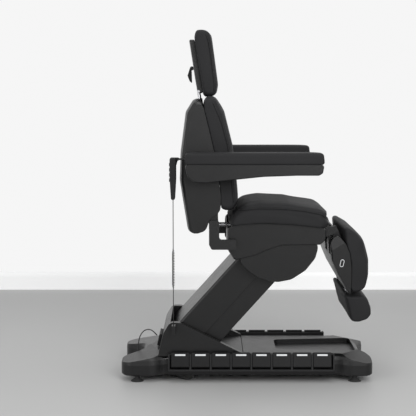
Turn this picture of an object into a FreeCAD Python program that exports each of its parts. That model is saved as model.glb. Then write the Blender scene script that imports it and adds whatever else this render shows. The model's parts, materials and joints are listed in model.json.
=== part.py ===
import FreeCAD, Part
import math
import os

# Electric treatment chair, in millimetres. +Z is up, +X is the front, and the sitter's right is -Y.
# The origin is on the floor under the middle of the base.

V = FreeCAD.Vector

# Fits and cuts
running_gap = 0.2
seat_gap = 0.3
seam_gap = 0.6
link_gap = 3.0
overrun = 6.0
corner_room_share = 0.48
flat_share = 0.01
side_shares = [(-1.0, 1.0), (-0.965, 0.5), (-0.88, 0.17), (-0.6, 0.0), (0.6, 0.0), (0.88, 0.17), (0.965, 0.5),
               (1.0, 1.0)]

# Base
base_length = 1110.0
base_width = 460.0
waist_width = 406.0
base_clearance = 24.0
deck_height = 118.0
cover_wall = 5.0
deck_bevel = 30.0
lobe_radius = 62.0
base_side_shares = [(0.937, 0.26), (1.0, 0.62), (1.0, 1.0)]
base_rear_shares = [(-1.0, 1.0), (-1.0, 0.50), (-0.849, 0.22)]
waist_ease = 22.0
lobe_flare = 46.0
base_level_shares = (0.0, 0.1, 0.55, 0.76, 0.9, 1.0)
base_draw_shares = (0.3, 0.0, 0.0, 0.1, 0.38, 1.0)
toe_height = 86.0
rear_crease_shares = [(-0.775, 0.0), (-0.658, 0.87), (-0.98, 0.94)]
front_crease_shares = [(0.72, 0.88), (0.98, 0.26), (0.97, 0.93)]
tray_start = 134.0
tray_inset = 65.0
tray_rear_half = 92.0
tray_front_half = 126.0
tray_depth = 20.0
tray_radius = 26.0
hump_half = 203.0
slot_half = 172.0
hump_length = 398.0
hump_height = 150.0
hump_inset = 163.0
hump_root = 112.0
hump_shares = [(0.0, 0.0), (0.06, 0.69), (0.131, 1.0), (0.241, 1.0), (1.0, 0.0)]
hump_radii = (4.0, 46.0, 26.0, 30.0, 6.0)
slot_length = 377.0
throat_length = 262.0
gland_length = 40.0
gland_drop = 4.0
gland_width = 16.0

# Feet and chassis
foot_inset_front = 78.0
foot_inset_rear = 70.0
foot_y = 195.0
foot_pad_radius = 29.0
foot_pad_height = 14.0
foot_neck_radius = 11.0
foot_stem_radius = 6.0
foot_stem_top = 74.0
rail_outer = 116.0
rail_width = 40.0
rail_height = 34.0
rail_rise = 8.0
cross_width = 44.0
cross_half = 218.0
cross_shift = 64.0
cheek_thickness = 12.0
cheek_outer = 116.0
tray_plate = 4.0
control_length = 170.0
control_width = 130.0
control_height = 40.0
control_x = 210.0
post_radius = 10.0
post_x = 60.0

# Socket panel on the hump
panel_half = 58.0
panel_thickness = 14.0
panel_share_low = 0.12
panel_share_high = 0.62
inlet_half = 15.0
inlet_height = 20.0
socket_radius = 8.0
socket_depth = 9.0

# Pedals
lobe_length = 196.0
pedal_pitch = 89.0
pedal_width = 77.0
pedal_mid_x = 18.0
pedal_bar_end = 8.0
pedal_inner = 203.3
pedal_outer = 246.0
pedal_bar_low = 38.0
pedal_bar_lip = 62.0
pedal_bar_wall = 6.0
pedal_bar_top = 127.0
pedal_pin_radius = 3.0
pedal_pin_y = 223.0
pedal_pin_z = 123.0
pedal_key_inner = 216.5
pedal_key_top = 134.0
pedal_key_low = 70.0
pedal_key_crest = 228.0
pedal_key_edge = 5.0
pedal_rib_gap = 2.0
pedal_rib_inset = 3.0

# Lift arm
lift_inset = 307.0
lift_z = 168.0
arm_length = 589.0
arm_rise_deg = 48.2
arm_half = 165.0
arm_depth = 97.0
arm_seam = 22.0
arm_wall = 4.0
arm_cover_low = -40.0
arm_cover_inset = 119.0
arm_cover_edge = 12.0
arm_plate_outer = 132.0
arm_plate_thickness = 12.0
arm_plate_narrow = 34.0
arm_plate_wide = 62.0
arm_plate_start_share = 0.17
arm_plate_end_share = 0.79
arm_shaft_radius = 15.0
spacer_radius = 8.0
spacer_place_share = 0.5
spacer_offset = -50.0
link_offset_x = 70.0
link_offset_z = -30.0
link_half = 156.0
link_wall = 3.0
link_depth = 98.0
link_lip = -20.0
link_low = 64.0
link_inset = 120.0
link_shaft_radius = 12.0
link_lug_thickness = 6.0
link_lug_half = 20.0
link_lug_reach = 60.0

# Actuators
tube_radius = 20.0
lift_tube_radius = 24.0
rod_radius = 9.0
eye_radius = 19.0
eye_half = 10.0
motor_width = 54.0
motor_length = 90.0
motor_half = 20.0
clevis_radius = 7.0
clevis_length = 24.0
lift_crank = 45.0
lift_tube_start = 200.0
lift_tube_length = 240.0
lift_pin_back = 18.0

# Carrier inside the pod
carrier_outer = 190.0
carrier_thickness = 12.0
tilt_dx = -145.0
tilt_dz = 3.0
tilt_pin_radius = 10.0
tilt_crank = 60.0
crank_pin_radius = 8.0
lift_lug_inner = 14.0
carrier_front_dx = 112.0
carrier_front_dz = -52.0
carrier_tube_radius = 14.0
carrier_rim = 26.0
belly_half = 236.0
belly_wall = 5.0
belly_length = 342.0
belly_height = 183.0
belly_dx = -175.0
belly_dz = -162.0
belly_shares = [(0.0, 0.79), (0.0, 0.437), (0.09, 0.271), (0.22, 0.105), (0.37, 0.018), (0.48, 0.0),
                (0.65, 0.061), (0.83, 0.28), (0.955, 0.577), (0.992, 0.84), (0.965, 1.0)]
belly_radius = 60.0
belly_slot_share = 0.72

# Seat
seat_half = 268.0
seat_dx = -237.0
seat_dz = 77.0
seat_length = 450.0
seat_height = 131.0
seat_line_shares = [(0.0, 0.046), (0.138, 0.137), (0.338, 0.176), (0.604, 0.145), (0.871, 0.046), (0.966, 0.0)]
seat_top_shares = [(0.996, 0.18), (0.972, 0.44), (0.885, 0.675), (0.604, 0.93), (0.338, 1.0), (0.16, 0.94),
                   (0.045, 0.42)]
seat_corner = 60.0
seat_crown = 30.0
shell_half = 250.0
shell_dx = -238.0
shell_dz = -65.0
shell_length = 441.0
shell_height = 128.0
shell_low_shares = [(0.0, 0.43), (0.079, 0.0), (0.283, 0.156), (0.44, 0.391), (0.551, 0.508), (0.927, 0.523),
                    (0.985, 0.72)]
shell_corner = 14.0
shell_draw = 8.0
frame_outer = 214.0
frame_thickness = 8.0
frame_low_dz = 20.0
frame_top_dz = 74.0
frame_rear_dx = -226.0
frame_front_dx = 150.0
frame_cross_radius = 8.0
frame_cross_front_dx = 164.0
frame_cross_rear_dx = -205.0
frame_cross_front_dz = 29.0
frame_cross_rear_dz = 76.0
bracket_inner = 267.0
bracket_thickness = 7.0
bracket_limb = 22.0
stub_radius = 12.0
stub_dx = -217.0
stub_dz = 11.0
tilt_tube_y = 212.0
tilt_tube_radius = 13.0
tilt_tube_start = 44.0
tilt_tube_length = 130.0
back_tube_y = 70.0
back_tube_dz = 58.0
back_tube_dx = -165.0
back_tube_length = 190.0
leg_tube_y = -60.0
leg_tube_dz = 48.0
leg_tube_dx = -60.0
leg_tube_length = 170.0

# Back
recline_dx = -290.0
recline_dz = 93.0
recline_pin_radius = 8.0
back_crank = 32.0
back_half = 265.0
back_depth = 254.0
back_height = 601.0
back_dx = -150.0
back_dz = -49.0
back_seam_shares = [(0.382, 0.973), (0.598, 0.596), (0.705, 0.298), (0.697, 0.176)]
back_rear_shares = [(0.531, 0.14), (0.449, 0.042), (0.15, 0.0), (0.043, 0.281), (0.0, 0.398), (0.016, 0.597),
                    (0.106, 0.889), (0.248, 0.985)]
back_front_shares = [(0.917, 0.171), (1.0, 0.24), (0.969, 0.381), (0.894, 0.647), (0.75, 0.89), (0.60, 1.015)]
back_corner = 36.0
back_crown = 22.0
back_draw = 20.0
back_wall = 5.0
back_notch_half = 182.0
back_notch_share = 0.17
back_rail_outer = 250.0
back_rail_thickness = 12.0
back_rail_shares = [(0.51, 0.065), (0.67, 0.065), (0.65, 0.18), (0.512, 0.581), (0.354, 0.897), (0.217, 0.88),
                    (0.354, 0.581), (0.472, 0.18)]
back_cross_low_shares = (0.52, 0.23)
back_cross_high_shares = (0.35, 0.78)
back_cross_half = 14.0
arm_pin_radius = 10.0
arm_pin_shares = (0.46, 0.464)
arm_pin_reach = 325.0
hook_bar_radius = 3.0
hook_half = 20.0
hook_share = 0.554
hook_stand = 6.0

# Armrests
armrest_inner = 280.0
armrest_width = 90.0
armrest_length = 588.0
armrest_height = 124.0
armrest_dx = -92.0
armrest_dz = -40.0
armrest_split_share = 0.625
armrest_low_shares = [(0.997, 0.62), (0.986, 0.331), (0.957, 0.25), (0.80, 0.25), (0.56, 0.21), (0.25, 0.056),
                      (0.153, 0.0), (0.071, 0.024), (0.022, 0.20), (0.0, 0.62)]
armrest_pad_shares = [(0.0, 0.65), (0.004, 1.0), (0.992, 1.0), (1.0, 0.65)]
armrest_corner = 10.0
armrest_draw = 5.0

# Headrest
head_half = 155.0
head_depth = 128.0
head_height = 287.0
head_dx = -112.0
head_dz = 554.0
head_rear_shares = [(0.195, 0.882), (0.461, 0.125)]
head_front_shares = [(0.505, -0.003), (0.965, 0.0), (0.99, 0.16), (0.735, 1.0), (0.25, 1.0)]
head_corner = 34.0
head_crown = 14.0
dish_length = 150.0
dish_width = 120.0
dish_depth = 12.0
plate_half = 112.0
plate_thickness_share = 0.19
plate_low_share = 0.034
plate_high_share = 0.85
head_axle_radius = 6.0
guide_top_drop = 32.0
head_axle_shares = (0.345, 0.064)
head_axle_half = 100.0
head_rod_radius = 7.0
head_rod_y = 70.0
head_rod_length = 175.0
head_lean_deg = 8.5
head_notch_half = 86.0
head_notch_share = 0.16
socket_wall = 4.0
socket_length = 130.0
lever_half = 30.0
lever_axle_radius = 4.0
lever_stand = 7.0
lever_reach = 66.0
lever_thickness = 10.0
lever_share = 0.42

# Leg rest
leg_dx = 233.0
leg_dz = 69.0
leg_half = 250.0
leg_box_dx = -22.0
leg_box_dz = -276.0
leg_depth = 169.0
leg_height = 306.0
leg_seam_shares = [(0.373, 0.752), (0.503, 0.572), (0.55, 0.373), (0.55, 0.163), (0.533, 0.0)]
leg_rear_shares = [(0.479, 0.003), (0.201, 0.265), (0.036, 0.477), (0.018, 0.614), (0.0, 0.74), (0.178, 0.85)]
leg_front_shares = [(0.93, 0.01), (1.01, 0.24), (1.0, 0.47), (0.86, 0.77), (0.66, 0.89), (0.33, 1.0)]
leg_corner = 40.0
leg_crown = 10.0
leg_draw = 6.0
leg_wall = 5.0
leg_bevel_shares = [(0.03, 0.614), (0.367, 0.725)]
leg_bevel_in = 24.0
leg_bevel_rise = 62.0
leg_shaft_radius = 7.0
leg_plate_outer = 186.0
leg_plate_thickness = 8.0
leg_plate_half = 13.0
leg_plate_length = 215.0
leg_lean_deg = 12.6
leg_crank = 24.0
leg_spacer_along = 110.0
leg_spacer_out = 27.0
guide_y = 150.0
guide_dx = 18.0
guide_dz = -76.0
guide_start = 104.0
guide_length = 50.0
guide_wall = 4.0
foot_rod_radius = 7.0
foot_rod_length = 300.0
foot_half = 236.0
foot_depth = 143.0
foot_height = 169.0
foot_dx = 24.0
foot_dz = -409.0
foot_shares = [(0.10, 0.775), (0.21, 0.56), (0.371, 0.047), (0.448, 0.0), (0.629, 0.0), (0.881, 0.083),
               (1.0, 0.213), (0.986, 0.396), (0.881, 0.615), (0.741, 0.735), (0.33, 0.715)]
foot_corner = 16.0
foot_crown = 7.0

# Handset and its curly lead
handset_y = -245.0
handset_width = 52.0
handset_length = 181.0
handset_thickness = 28.0
handset_foot_share = 0.62
handset_corner = 9.0
handset_lug_radius = 6.5
handset_lug_half = 13.0
hook_tail = 60.0
key_rows = 4
key_columns = 2
key_size = 14.0
key_height = 4.0
key_pitch = 22.0
key_start = 30.0
key_travel = 1.6
lead_radius = 1.8
lead_drop = 203.0
curl_radius = 4.3
curl_length = 196.0
curl_pitch = 7.0
curl_steps = 4

# Lead of the right pedal bar: socket, over the rear edge, along the floor and up into the bar
pedal_lead_radius = 2.5
ease_top = 3
ease_turns = 4
curl_straight = 4.0
slope_step = 0.0005
gap_samples = 48
lead_reach_share = 0.45
pedal_lead_route = [
    (-404, -30, 166), (-420, -30, 186), (-444, -31, 196), (-468, -32, 186), (-484, -33, 160), (-490, -34, 126),
    (-494, -35, 90), (-494, -37, 56), (-488, -41, 28), (-472, -49, 10), (-440, -60, 4.5), (-390, -84, 3.5),
    (-340, -120, 4.5), (-312, -150, 6), (-288, -176, 4.5), (-262, -196, 6), (-244, -206, 12), (-234, -216, 24),
    (-230, -221, 36.4)]


def unit(x, z):
    size = math.hypot(x, z)
    return (x / size, z / size)


def inset(points, depths):
    """Outline drawn in edge by edge; the first depth belongs to the edge after the first point."""
    count = len(points)
    turn = sum(points[i - 1][0] * points[i][1] - points[i][0] * points[i - 1][1] for i in range(count))
    side = math.copysign(1, turn)
    moved = []
    for i in range(count):
        before = unit(points[i][0] - points[i - 1][0], points[i][1] - points[i - 1][1])
        after = unit(points[(i + 1) % count][0] - points[i][0], points[(i + 1) % count][1] - points[i][1])
        n1 = (-before[1] * side, before[0] * side)
        n2 = (-after[1] * side, after[0] * side)
        along = n1[0] * n2[0] + n1[1] * n2[1]
        d1, d2 = depths[i - 1], depths[i]
        if 1 - along * along < flat_share:
            step = (n1[0] * (d1 + d2) / 2, n1[1] * (d1 + d2) / 2)
        else:
            k1 = (d1 - d2 * along) / (1 - along * along)
            k2 = (d2 - d1 * along) / (1 - along * along)
            step = (n1[0] * k1 + n2[0] * k2, n1[1] * k1 + n2[1] * k2)
        moved.append((points[i][0] + step[0], points[i][1] + step[1]))
    return moved


def ring(points, radii, place):
    """Closed wire with rounded corners; place lifts a flat point into space."""
    count = len(points)
    arcs = []
    for i in range(count):
        here = V(points[i][0], points[i][1], 0)
        back = V(points[i - 1][0], points[i - 1][1], 0) - here
        ahead = V(points[(i + 1) % count][0], points[(i + 1) % count][1], 0) - here
        room = corner_room_share * min(back.Length, ahead.Length)
        back.normalize()
        ahead.normalize()
        half = back.getAngle(ahead) / 2
        reach = min(radii[i] / math.tan(half), room)
        middle = back + ahead
        middle.normalize()
        arcs.append((here + back * reach,
                     here + middle * (reach / math.cos(half) - reach * math.tan(half)),
                     here + ahead * reach))
    edges = []
    for i in range(count):
        start, middle, end = (place(p.x, p.y) for p in arcs[i])
        edges.append(Part.Arc(start, middle, end).toShape())
        following = place(arcs[(i + 1) % count][0].x, arcs[(i + 1) % count][0].y)
        edges.append(Part.makeLine(end, following))
    return Part.Wire(edges)


def upright(y):
    return lambda x, z: V(x, y, z)


def level(z):
    return lambda x, y: V(x, y, z)


def slab(points, radius, y_low, y_high):
    """Side outline pushed across the chair from y_low to y_high."""
    radii = radius if isinstance(radius, (list, tuple)) else [radius] * len(points)
    return Part.Face(ring(points, radii, upright(y_low))).extrude(V(0, y_high - y_low, 0))


def crossed(points, radius, half, depths, y_mid=0.0):
    """Side outline lofted across the chair; towards each side it is drawn in by shares of the depths."""
    wires = []
    for place_share, draw_share in side_shares:
        drawn = inset(points, [depth * draw_share for depth in depths])
        wires.append(ring(drawn, [radius] * len(points), upright(y_mid + half * place_share)))
    return Part.makeLoft(wires, True, True)


def bar(x, z, radius, y_low, y_high):
    return Part.makeCylinder(radius, y_high - y_low, V(x, y_low, z), V(0, 1, 0))


def rod(start, end, radius):
    return Part.makeCylinder(radius, (end - start).Length, start, end - start)


def block(x0, x1, y0, y1, z0, z1):
    return Part.makeBox(x1 - x0, y1 - y0, z1 - z0, V(x0, y0, z0))


def both(shape):
    """A shape and its mirror image on the other side of the chair, as one."""
    return shape.fuse(other(shape))


def other(shape):
    return shape.mirror(V(0, 0, 0), V(0, 1, 0))


def pair(points, radius, inner, outer):
    return both(slab(points, radius, inner, outer))


def spread(shares, x0, z0, length, height):
    return [(x0 + sx * length, z0 + sz * height) for sx, sz in shares]


def save(shape, name):
    shape = shape.removeSplitter()
    shape.exportStep("parts/" + name + ".step")
    print(name, len(shape.Solids), round(shape.Volume), shape.isValid())


# Places that follow from the driving dimensions
foot_x_front = base_length / 2 - foot_inset_front
foot_x_rear = foot_inset_rear - base_length / 2
hump_rear = hump_inset - base_length / 2
slot_front = hump_rear + slot_length
throat_front = hump_rear + throat_length
tray_end = base_length / 2 - tray_inset
lift_x = lift_inset - base_length / 2
gland_top = hump_root + hump_height - gland_drop
pedal_count = int((base_length - 2 * lobe_length) / pedal_pitch)
arm_cover_high = arm_length - arm_cover_inset
link_high = arm_length - link_inset
rise = math.radians(arm_rise_deg)
arm_dir = (math.cos(rise), math.sin(rise))
arm_out = (math.sin(rise), -math.cos(rise))
top_x = lift_x + arm_length * arm_dir[0]
top_z = lift_z + arm_length * arm_dir[1]
low_link = (lift_x + link_offset_x, lift_z + link_offset_z)
top_link = (top_x + link_offset_x, top_z + link_offset_z)
tilt_x = top_x + tilt_dx
tilt_z = top_z + tilt_dz
recline_x = top_x + recline_dx
recline_z = top_z + recline_dz
leg_x = top_x + leg_dx
leg_z = top_z + leg_dz
back_x = recline_x + back_dx
back_z = recline_z + back_dz
chassis_low = base_clearance + rail_rise
chassis_top = chassis_low + rail_height


def on_arm(along, out):
    """Point of the side view, measured along the arm from its lower pivot and out from its middle line."""
    return (lift_x + along * arm_dir[0] + out * arm_out[0], lift_z + along * arm_dir[1] + out * arm_out[1])


def arm_point(along, out, y):
    x, z = on_arm(along, out)
    return V(x, y, z)


def base_outline():
    half_length = base_length / 2
    half_width = base_width / 2
    waist = waist_width / 2
    side = [(sx * half_length, sy * half_width) for sx, sy in base_side_shares]
    front = pedal_mid_x + pedal_span() + waist_ease
    rear = pedal_mid_x - pedal_span() - waist_ease
    side += [(front + lobe_flare, half_width), (front, waist), (rear, waist), (rear - lobe_flare, half_width)]
    side += [(sx * half_length, sy * half_width) for sx, sy in base_rear_shares]
    return side + [(x, -y) for x, y in reversed(side)]


def base_body(draw, low, high):
    """Dog-bone body lofted upwards with a bevelled deck, drawn in by a wall."""
    outline = base_outline()
    wires = []
    for level_share, draw_share in zip(base_level_shares, base_draw_shares):
        ring_points = inset(outline, [draw + draw_share * deck_bevel] * len(outline))
        wires.append(ring(ring_points, [lobe_radius] * len(outline), level(low + level_share * (high - low))))
    return toe_cut(Part.makeLoft(wires, True, True), deck_height - high)


def toe_cut(body, sink):
    """Each lobe slopes from a crease on the deck to its toe; sink lowers the slope for the inner face."""
    fall = deck_height - toe_height
    for shares in (rear_crease_shares, front_crease_shares):
        start, end, tip = (V(sx * base_length / 2, sy * base_width / 2, deck_height - sink)
                           for sx, sy in shares)
        way = end - start
        way.normalize()
        out = way.cross(V(0, 0, 1))
        reach = (tip - start).dot(out)
        out = out * math.copysign(1, reach)
        far = start + out * (2 * abs(reach))
        corners = [start, far - V(0, 0, 2 * fall), far + V(0, 0, fall), start + V(0, 0, fall)]
        corners = [corner - way * base_width for corner in corners]
        wedge = Part.Face(Part.makePolygon(corners + corners[:1])).extrude(way * (2 * base_width))
        body = body.cut(wedge).cut(other(wedge))
    return body


def hump_outline(wall):
    points = spread(hump_shares, hump_rear, hump_root, hump_length, hump_height)
    return inset(points, [wall] * len(points))


def tray_outline(wall):
    return inset([(tray_start, -tray_rear_half), (tray_end, -tray_front_half), (tray_end, tray_front_half),
                  (tray_start, tray_rear_half)], [wall] * 4)


def make_base_cover():
    body = base_body(0, base_clearance, deck_height)
    body = body.fuse(slab(hump_outline(0), hump_radii, -hump_half, hump_half))
    body = body.cut(base_body(cover_wall, base_clearance - overrun, deck_height - cover_wall))
    hollow = hump_outline(cover_wall)
    low = (hollow[0][0], chassis_low)
    cheek = [low, hollow[1], hollow[2], hollow[3], (slot_front, hump_root), (slot_front, chassis_low)]
    body = body.cut(pair(cheek, cover_wall, slot_half + cover_wall, hump_half - cover_wall))
    lip = [low, hollow[1], hollow[2], (hollow[2][0] + cover_wall, hollow[2][1] + hump_height),
           (slot_front, hollow[2][1] + hump_height), (slot_front, deck_height), (throat_front, deck_height),
           (throat_front, chassis_low)]
    body = body.cut(slab(lip, cover_wall, -slot_half, slot_half))
    tray_floor = deck_height - tray_depth
    tub = Part.Face(ring(tray_outline(-cover_wall), [tray_radius] * 4, level(tray_floor - cover_wall)))
    body = body.fuse(tub.extrude(V(0, 0, tray_depth)))
    tub = Part.Face(ring(tray_outline(0), [tray_radius] * 4, level(tray_floor)))
    body = body.cut(tub.extrude(V(0, 0, tray_depth + overrun)))
    boss = block(lead_x - gland_width / 2, lead_x + gland_width / 2, handset_y - gland_width / 2,
                 -hump_half + cover_wall, gland_top - gland_length, gland_top - seat_gap)
    return body.fuse(boss)


def make_base_frame():
    rails = block(foot_x_rear + cross_width / 2, foot_x_front, rail_outer - rail_width, rail_outer,
                  chassis_low, chassis_top)
    frame = both(rails)
    for x, inward in ((foot_x_rear, cross_shift), (foot_x_front, -cross_shift)):
        frame = frame.fuse(block(x + inward - cross_width / 2, x + inward + cross_width / 2, -rail_outer,
                                 rail_outer, chassis_low, chassis_top))
        frame = frame.fuse(both(block(x - cross_width / 2, x + cross_width, rail_outer - rail_width / 2,
                                      cross_half, chassis_low, chassis_top)))
    rim = cross_width / 2
    reach = arm_shaft_radius + link_shaft_radius
    cheek = [(lift_x - reach, lift_z), (lift_x, lift_z + reach), (low_link[0] + reach, low_link[1] + rim),
             (low_link[0] + reach, low_link[1] - rim), (low_link[0] + rim, chassis_low),
             (lift_x - 2 * rim, chassis_low)]
    frame = frame.fuse(pair(cheek, rim, cheek_outer - cheek_thickness, cheek_outer))
    frame = frame.fuse(block(control_x - control_length, control_x + control_length, -rail_outer, rail_outer,
                             chassis_low - tray_plate, chassis_low))
    posts = Part.makeCylinder(post_radius, deck_height - cover_wall - seat_gap - chassis_low,
                              V(post_x, rail_outer - rail_width / 2, chassis_low))
    frame = frame.fuse(both(posts))
    for pivot, radius in (((lift_x, lift_z), arm_shaft_radius), (low_link, link_shaft_radius)):
        frame = frame.cut(bar(pivot[0], pivot[1], radius + running_gap, -cross_half, cross_half))
    for x in (foot_x_rear, foot_x_front):
        hole = Part.makeCylinder(foot_stem_radius + running_gap, chassis_top, V(x, foot_y, 0))
        frame = frame.cut(both(hole))
    return frame


def make_levelling_feet():
    feet = []
    for x in (foot_x_rear, foot_x_front):
        pad = Part.makeCone(foot_pad_radius, foot_neck_radius, foot_pad_height, V(x, foot_y, 0))
        neck = Part.makeCylinder(foot_neck_radius, chassis_low - foot_pad_height,
                                 V(x, foot_y, foot_pad_height))
        stem = Part.makeCylinder(foot_stem_radius, foot_stem_top, V(x, foot_y, 0))
        foot = pad.fuse(neck).fuse(stem).removeSplitter()
        feet += [foot, other(foot)]
    return Part.makeCompound(feet)


def make_control_box():
    box = block(control_x - control_length / 2, control_x + control_length / 2, -control_width / 2,
                control_width / 2, chassis_low, chassis_low + control_height)
    return box.makeFillet(cover_wall, [e for e in box.Edges if e.Length < control_height + overrun])


def make_socket_panel():
    outline = hump_outline(-seat_gap)
    low, high = outline[0], outline[1]
    foot = (low[0] + (high[0] - low[0]) * panel_share_low, low[1] + (high[1] - low[1]) * panel_share_low)
    head = (low[0] + (high[0] - low[0]) * panel_share_high, low[1] + (high[1] - low[1]) * panel_share_high)
    along = unit(head[0] - foot[0], head[1] - foot[1])
    out = V(-along[1], 0, along[0])
    step = (out.x * panel_thickness, out.z * panel_thickness)
    plate = slab([foot, head, (head[0] + step[0], head[1] + step[1]), (foot[0] + step[0], foot[1] + step[1])],
                 overrun / 2, -panel_half, panel_half)
    middle = V((foot[0] + head[0]) / 2 + step[0], 0, (foot[1] + head[1]) / 2 + step[1])
    for spot in (-1, 1):
        centre = middle + V(0, spot * socket_radius * 1.5 - panel_half / 2, 0)
        plate = plate.cut(Part.makeCylinder(socket_radius, socket_depth + overrun, centre + out * overrun,
                                            out * -1))
    face = V(along[0], 0, along[1])
    mouth = Part.makeBox(inlet_height, 2 * inlet_half, socket_depth + overrun)
    mouth.Placement = FreeCAD.Placement(middle + V(0, panel_half / 2 - inlet_half, 0)
                                        - face * (inlet_height / 2)
                                        + out * overrun, FreeCAD.Rotation(face, V(0, 1, 0), out * -1, "XZY"))
    return plate.cut(mouth)


def pedal_span():
    return pedal_count * pedal_pitch / 2 + pedal_bar_end


def cross_bar(points, radius, x_low, x_high):
    """Outline in the end view, given as distances from the middle plane and heights, on the right side."""
    wire = ring(points, [radius] * len(points), lambda out, z: V(x_low, -out, z))
    return Part.Face(wire).extrude(V(x_high - x_low, 0, 0))


def make_pedal_bar():
    span = pedal_span()
    wall = pedal_bar_wall
    outline = [(pedal_inner, pedal_bar_low), (pedal_outer - wall, pedal_bar_low),
               (pedal_outer, pedal_bar_lip - wall),
               (pedal_outer - wall, pedal_bar_lip), (pedal_inner + wall, pedal_bar_lip + wall / 2),
               (pedal_inner + wall, pedal_bar_top), (pedal_inner, pedal_bar_top)]
    housing = cross_bar(outline, wall / 3, pedal_mid_x - span, pedal_mid_x + span)
    cap = [(pedal_inner, pedal_bar_low), (pedal_outer - wall, pedal_bar_low),
           (pedal_outer, pedal_bar_lip - wall),
           (pedal_key_crest + wall, pedal_bar_top), (pedal_inner, pedal_bar_top)]
    for end in (pedal_mid_x - span, pedal_mid_x + span - wall):
        housing = housing.fuse(cross_bar(cap, wall, end, end + wall))
    foot = pedal_bar_lip - wall
    rib = [(pedal_inner, foot), (pedal_outer - pedal_rib_inset, foot), (pedal_key_crest, pedal_bar_top),
           (pedal_inner, pedal_bar_top)]
    rib_half = (pedal_pitch - pedal_width) / 2 - pedal_rib_gap
    for index in range(1, pedal_count):
        middle = pedal_mid_x + (index - pedal_count / 2) * pedal_pitch
        housing = housing.fuse(cross_bar(rib, pedal_rib_gap, middle - rib_half, middle + rib_half))
    pin = Part.makeCylinder(pedal_pin_radius, 2 * span - wall,
                            V(pedal_mid_x - span + wall / 2, -pedal_pin_y, pedal_pin_z), V(1, 0, 0))
    return housing.fuse(pin)


def make_pedal(index):
    middle = pedal_mid_x + (index - (pedal_count - 1) / 2) * pedal_pitch
    outline = [(pedal_key_inner, pedal_key_top), (pedal_key_crest, pedal_key_top),
               (pedal_outer, pedal_key_low), (pedal_key_inner, pedal_key_low)]
    key = cross_bar(outline, pedal_key_edge, middle - pedal_width / 2, middle + pedal_width / 2)
    bore = Part.makeCylinder(pedal_pin_radius + running_gap, pedal_width + 2 * overrun,
                             V(middle - pedal_width / 2 - overrun, -pedal_pin_y, pedal_pin_z), V(1, 0, 0))
    return key.cut(bore)


def make_arm_cover():
    outer = [(-arm_half, -arm_depth), (arm_half, -arm_depth), (arm_half, arm_seam), (-arm_half, arm_seam)]
    radii = [arm_cover_edge, arm_cover_edge, arm_wall / 4, arm_wall / 4]
    inner = inset(outer, [arm_wall, arm_wall, -overrun, arm_wall])
    direction = V(arm_dir[0], 0, arm_dir[1])
    start = arm_cover_low
    body = Part.Face(ring(outer, radii, lambda y, out: arm_point(start, out, y)))
    body = body.extrude(direction * (arm_cover_high - start))
    hollow = Part.Face(ring(inner, radii, lambda y, out: arm_point(start - overrun, out, y)))
    return body.cut(hollow.extrude(direction * (arm_cover_high - start + 2 * overrun)))


def make_arm_frame():
    narrow, wide = arm_plate_narrow, arm_plate_wide
    start = arm_plate_start_share * arm_length
    end = arm_plate_end_share * arm_length
    outline = [on_arm(-narrow, -narrow), on_arm(start - narrow, -narrow), on_arm(start, -wide),
               on_arm(end, -wide),
               on_arm(end + narrow, -narrow), on_arm(arm_length + narrow, -narrow),
               on_arm(arm_length + narrow, narrow),
               on_arm(end + narrow, narrow), on_arm(end, wide), on_arm(start, wide),
               on_arm(start - narrow, narrow), on_arm(-narrow, narrow)]
    frame = pair(outline, narrow, arm_plate_outer - arm_plate_thickness, arm_plate_outer)
    frame = frame.fuse(bar(lift_x, lift_z, arm_shaft_radius, -arm_plate_outer, arm_plate_outer))
    frame = frame.fuse(bar(top_x, top_z, arm_shaft_radius, -carrier_outer, carrier_outer))
    reach = arm_half - arm_wall - seat_gap
    x, z = on_arm(spacer_place_share * arm_length, spacer_offset)
    frame = frame.fuse(bar(x, z, spacer_radius, -reach, reach))
    x, z = on_arm(lift_tube_start - lift_pin_back, lift_crank)
    return frame.fuse(bar(x, z, clevis_radius, -arm_plate_outer, arm_plate_outer))


def make_level_link():
    outer = [on_arm(link_low, link_lip), on_arm(link_high, link_lip), on_arm(link_high, link_depth),
             on_arm(link_low, link_depth)]
    channel = slab(outer, link_wall, -link_half, link_half)
    inner = [on_arm(link_low - overrun, link_lip - overrun), on_arm(link_high + overrun, link_lip - overrun),
             on_arm(link_high + overrun, link_depth - link_wall),
             on_arm(link_low - overrun, link_depth - link_wall)]
    channel = channel.cut(slab(inner, link_wall / 2, link_wall - link_half, link_half - link_wall))
    shift = link_offset_x * arm_dir[0] + link_offset_z * arm_dir[1]
    out = link_offset_x * arm_out[0] + link_offset_z * arm_out[1]
    for end, root in ((shift, link_low + link_lug_reach), (arm_length + shift, link_high - link_lug_reach)):
        tip = end + math.copysign(link_lug_half, end - root)
        lug = [on_arm(root, out - link_lug_half), on_arm(tip, out - link_lug_half),
               on_arm(tip, out + link_lug_half), on_arm(root, out + link_lug_half)]
        channel = channel.fuse(pair(lug, link_lug_half - link_wall, link_half - link_lug_thickness, link_half))
    channel = channel.fuse(bar(low_link[0], low_link[1], link_shaft_radius, -link_half, link_half))
    return channel.fuse(bar(top_link[0], top_link[1], link_shaft_radius, -carrier_outer, carrier_outer))


def motor_tube(start, direction, length, radius, side, side_dir):
    """Actuator housing: tube with a rod bore, gear motor at its side and an eye at its back end."""
    tube = Part.makeCylinder(radius, length, start, direction)
    if side:
        middle = start + direction * (motor_length / 2) + side_dir * (motor_width / 2)
        motor = Part.makeCylinder(motor_half, motor_width, middle - side_dir * (motor_width / 2), side_dir)
        tube = tube.fuse(motor)
    bore = Part.makeCylinder(rod_radius + running_gap, length, start + direction * (radius / 2), direction)
    return tube.cut(bore)


def eye_rod(start, end, radius, half, bore):
    """Push rod with an eye at its end, bored across the chair."""
    shaft = rod(start, end, rod_radius)
    eye = bar(end.x, end.z, radius, end.y - half, end.y + half)
    return shaft.fuse(eye).cut(bar(end.x, end.z, bore, end.y - 2 * half, end.y + 2 * half))


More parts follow.
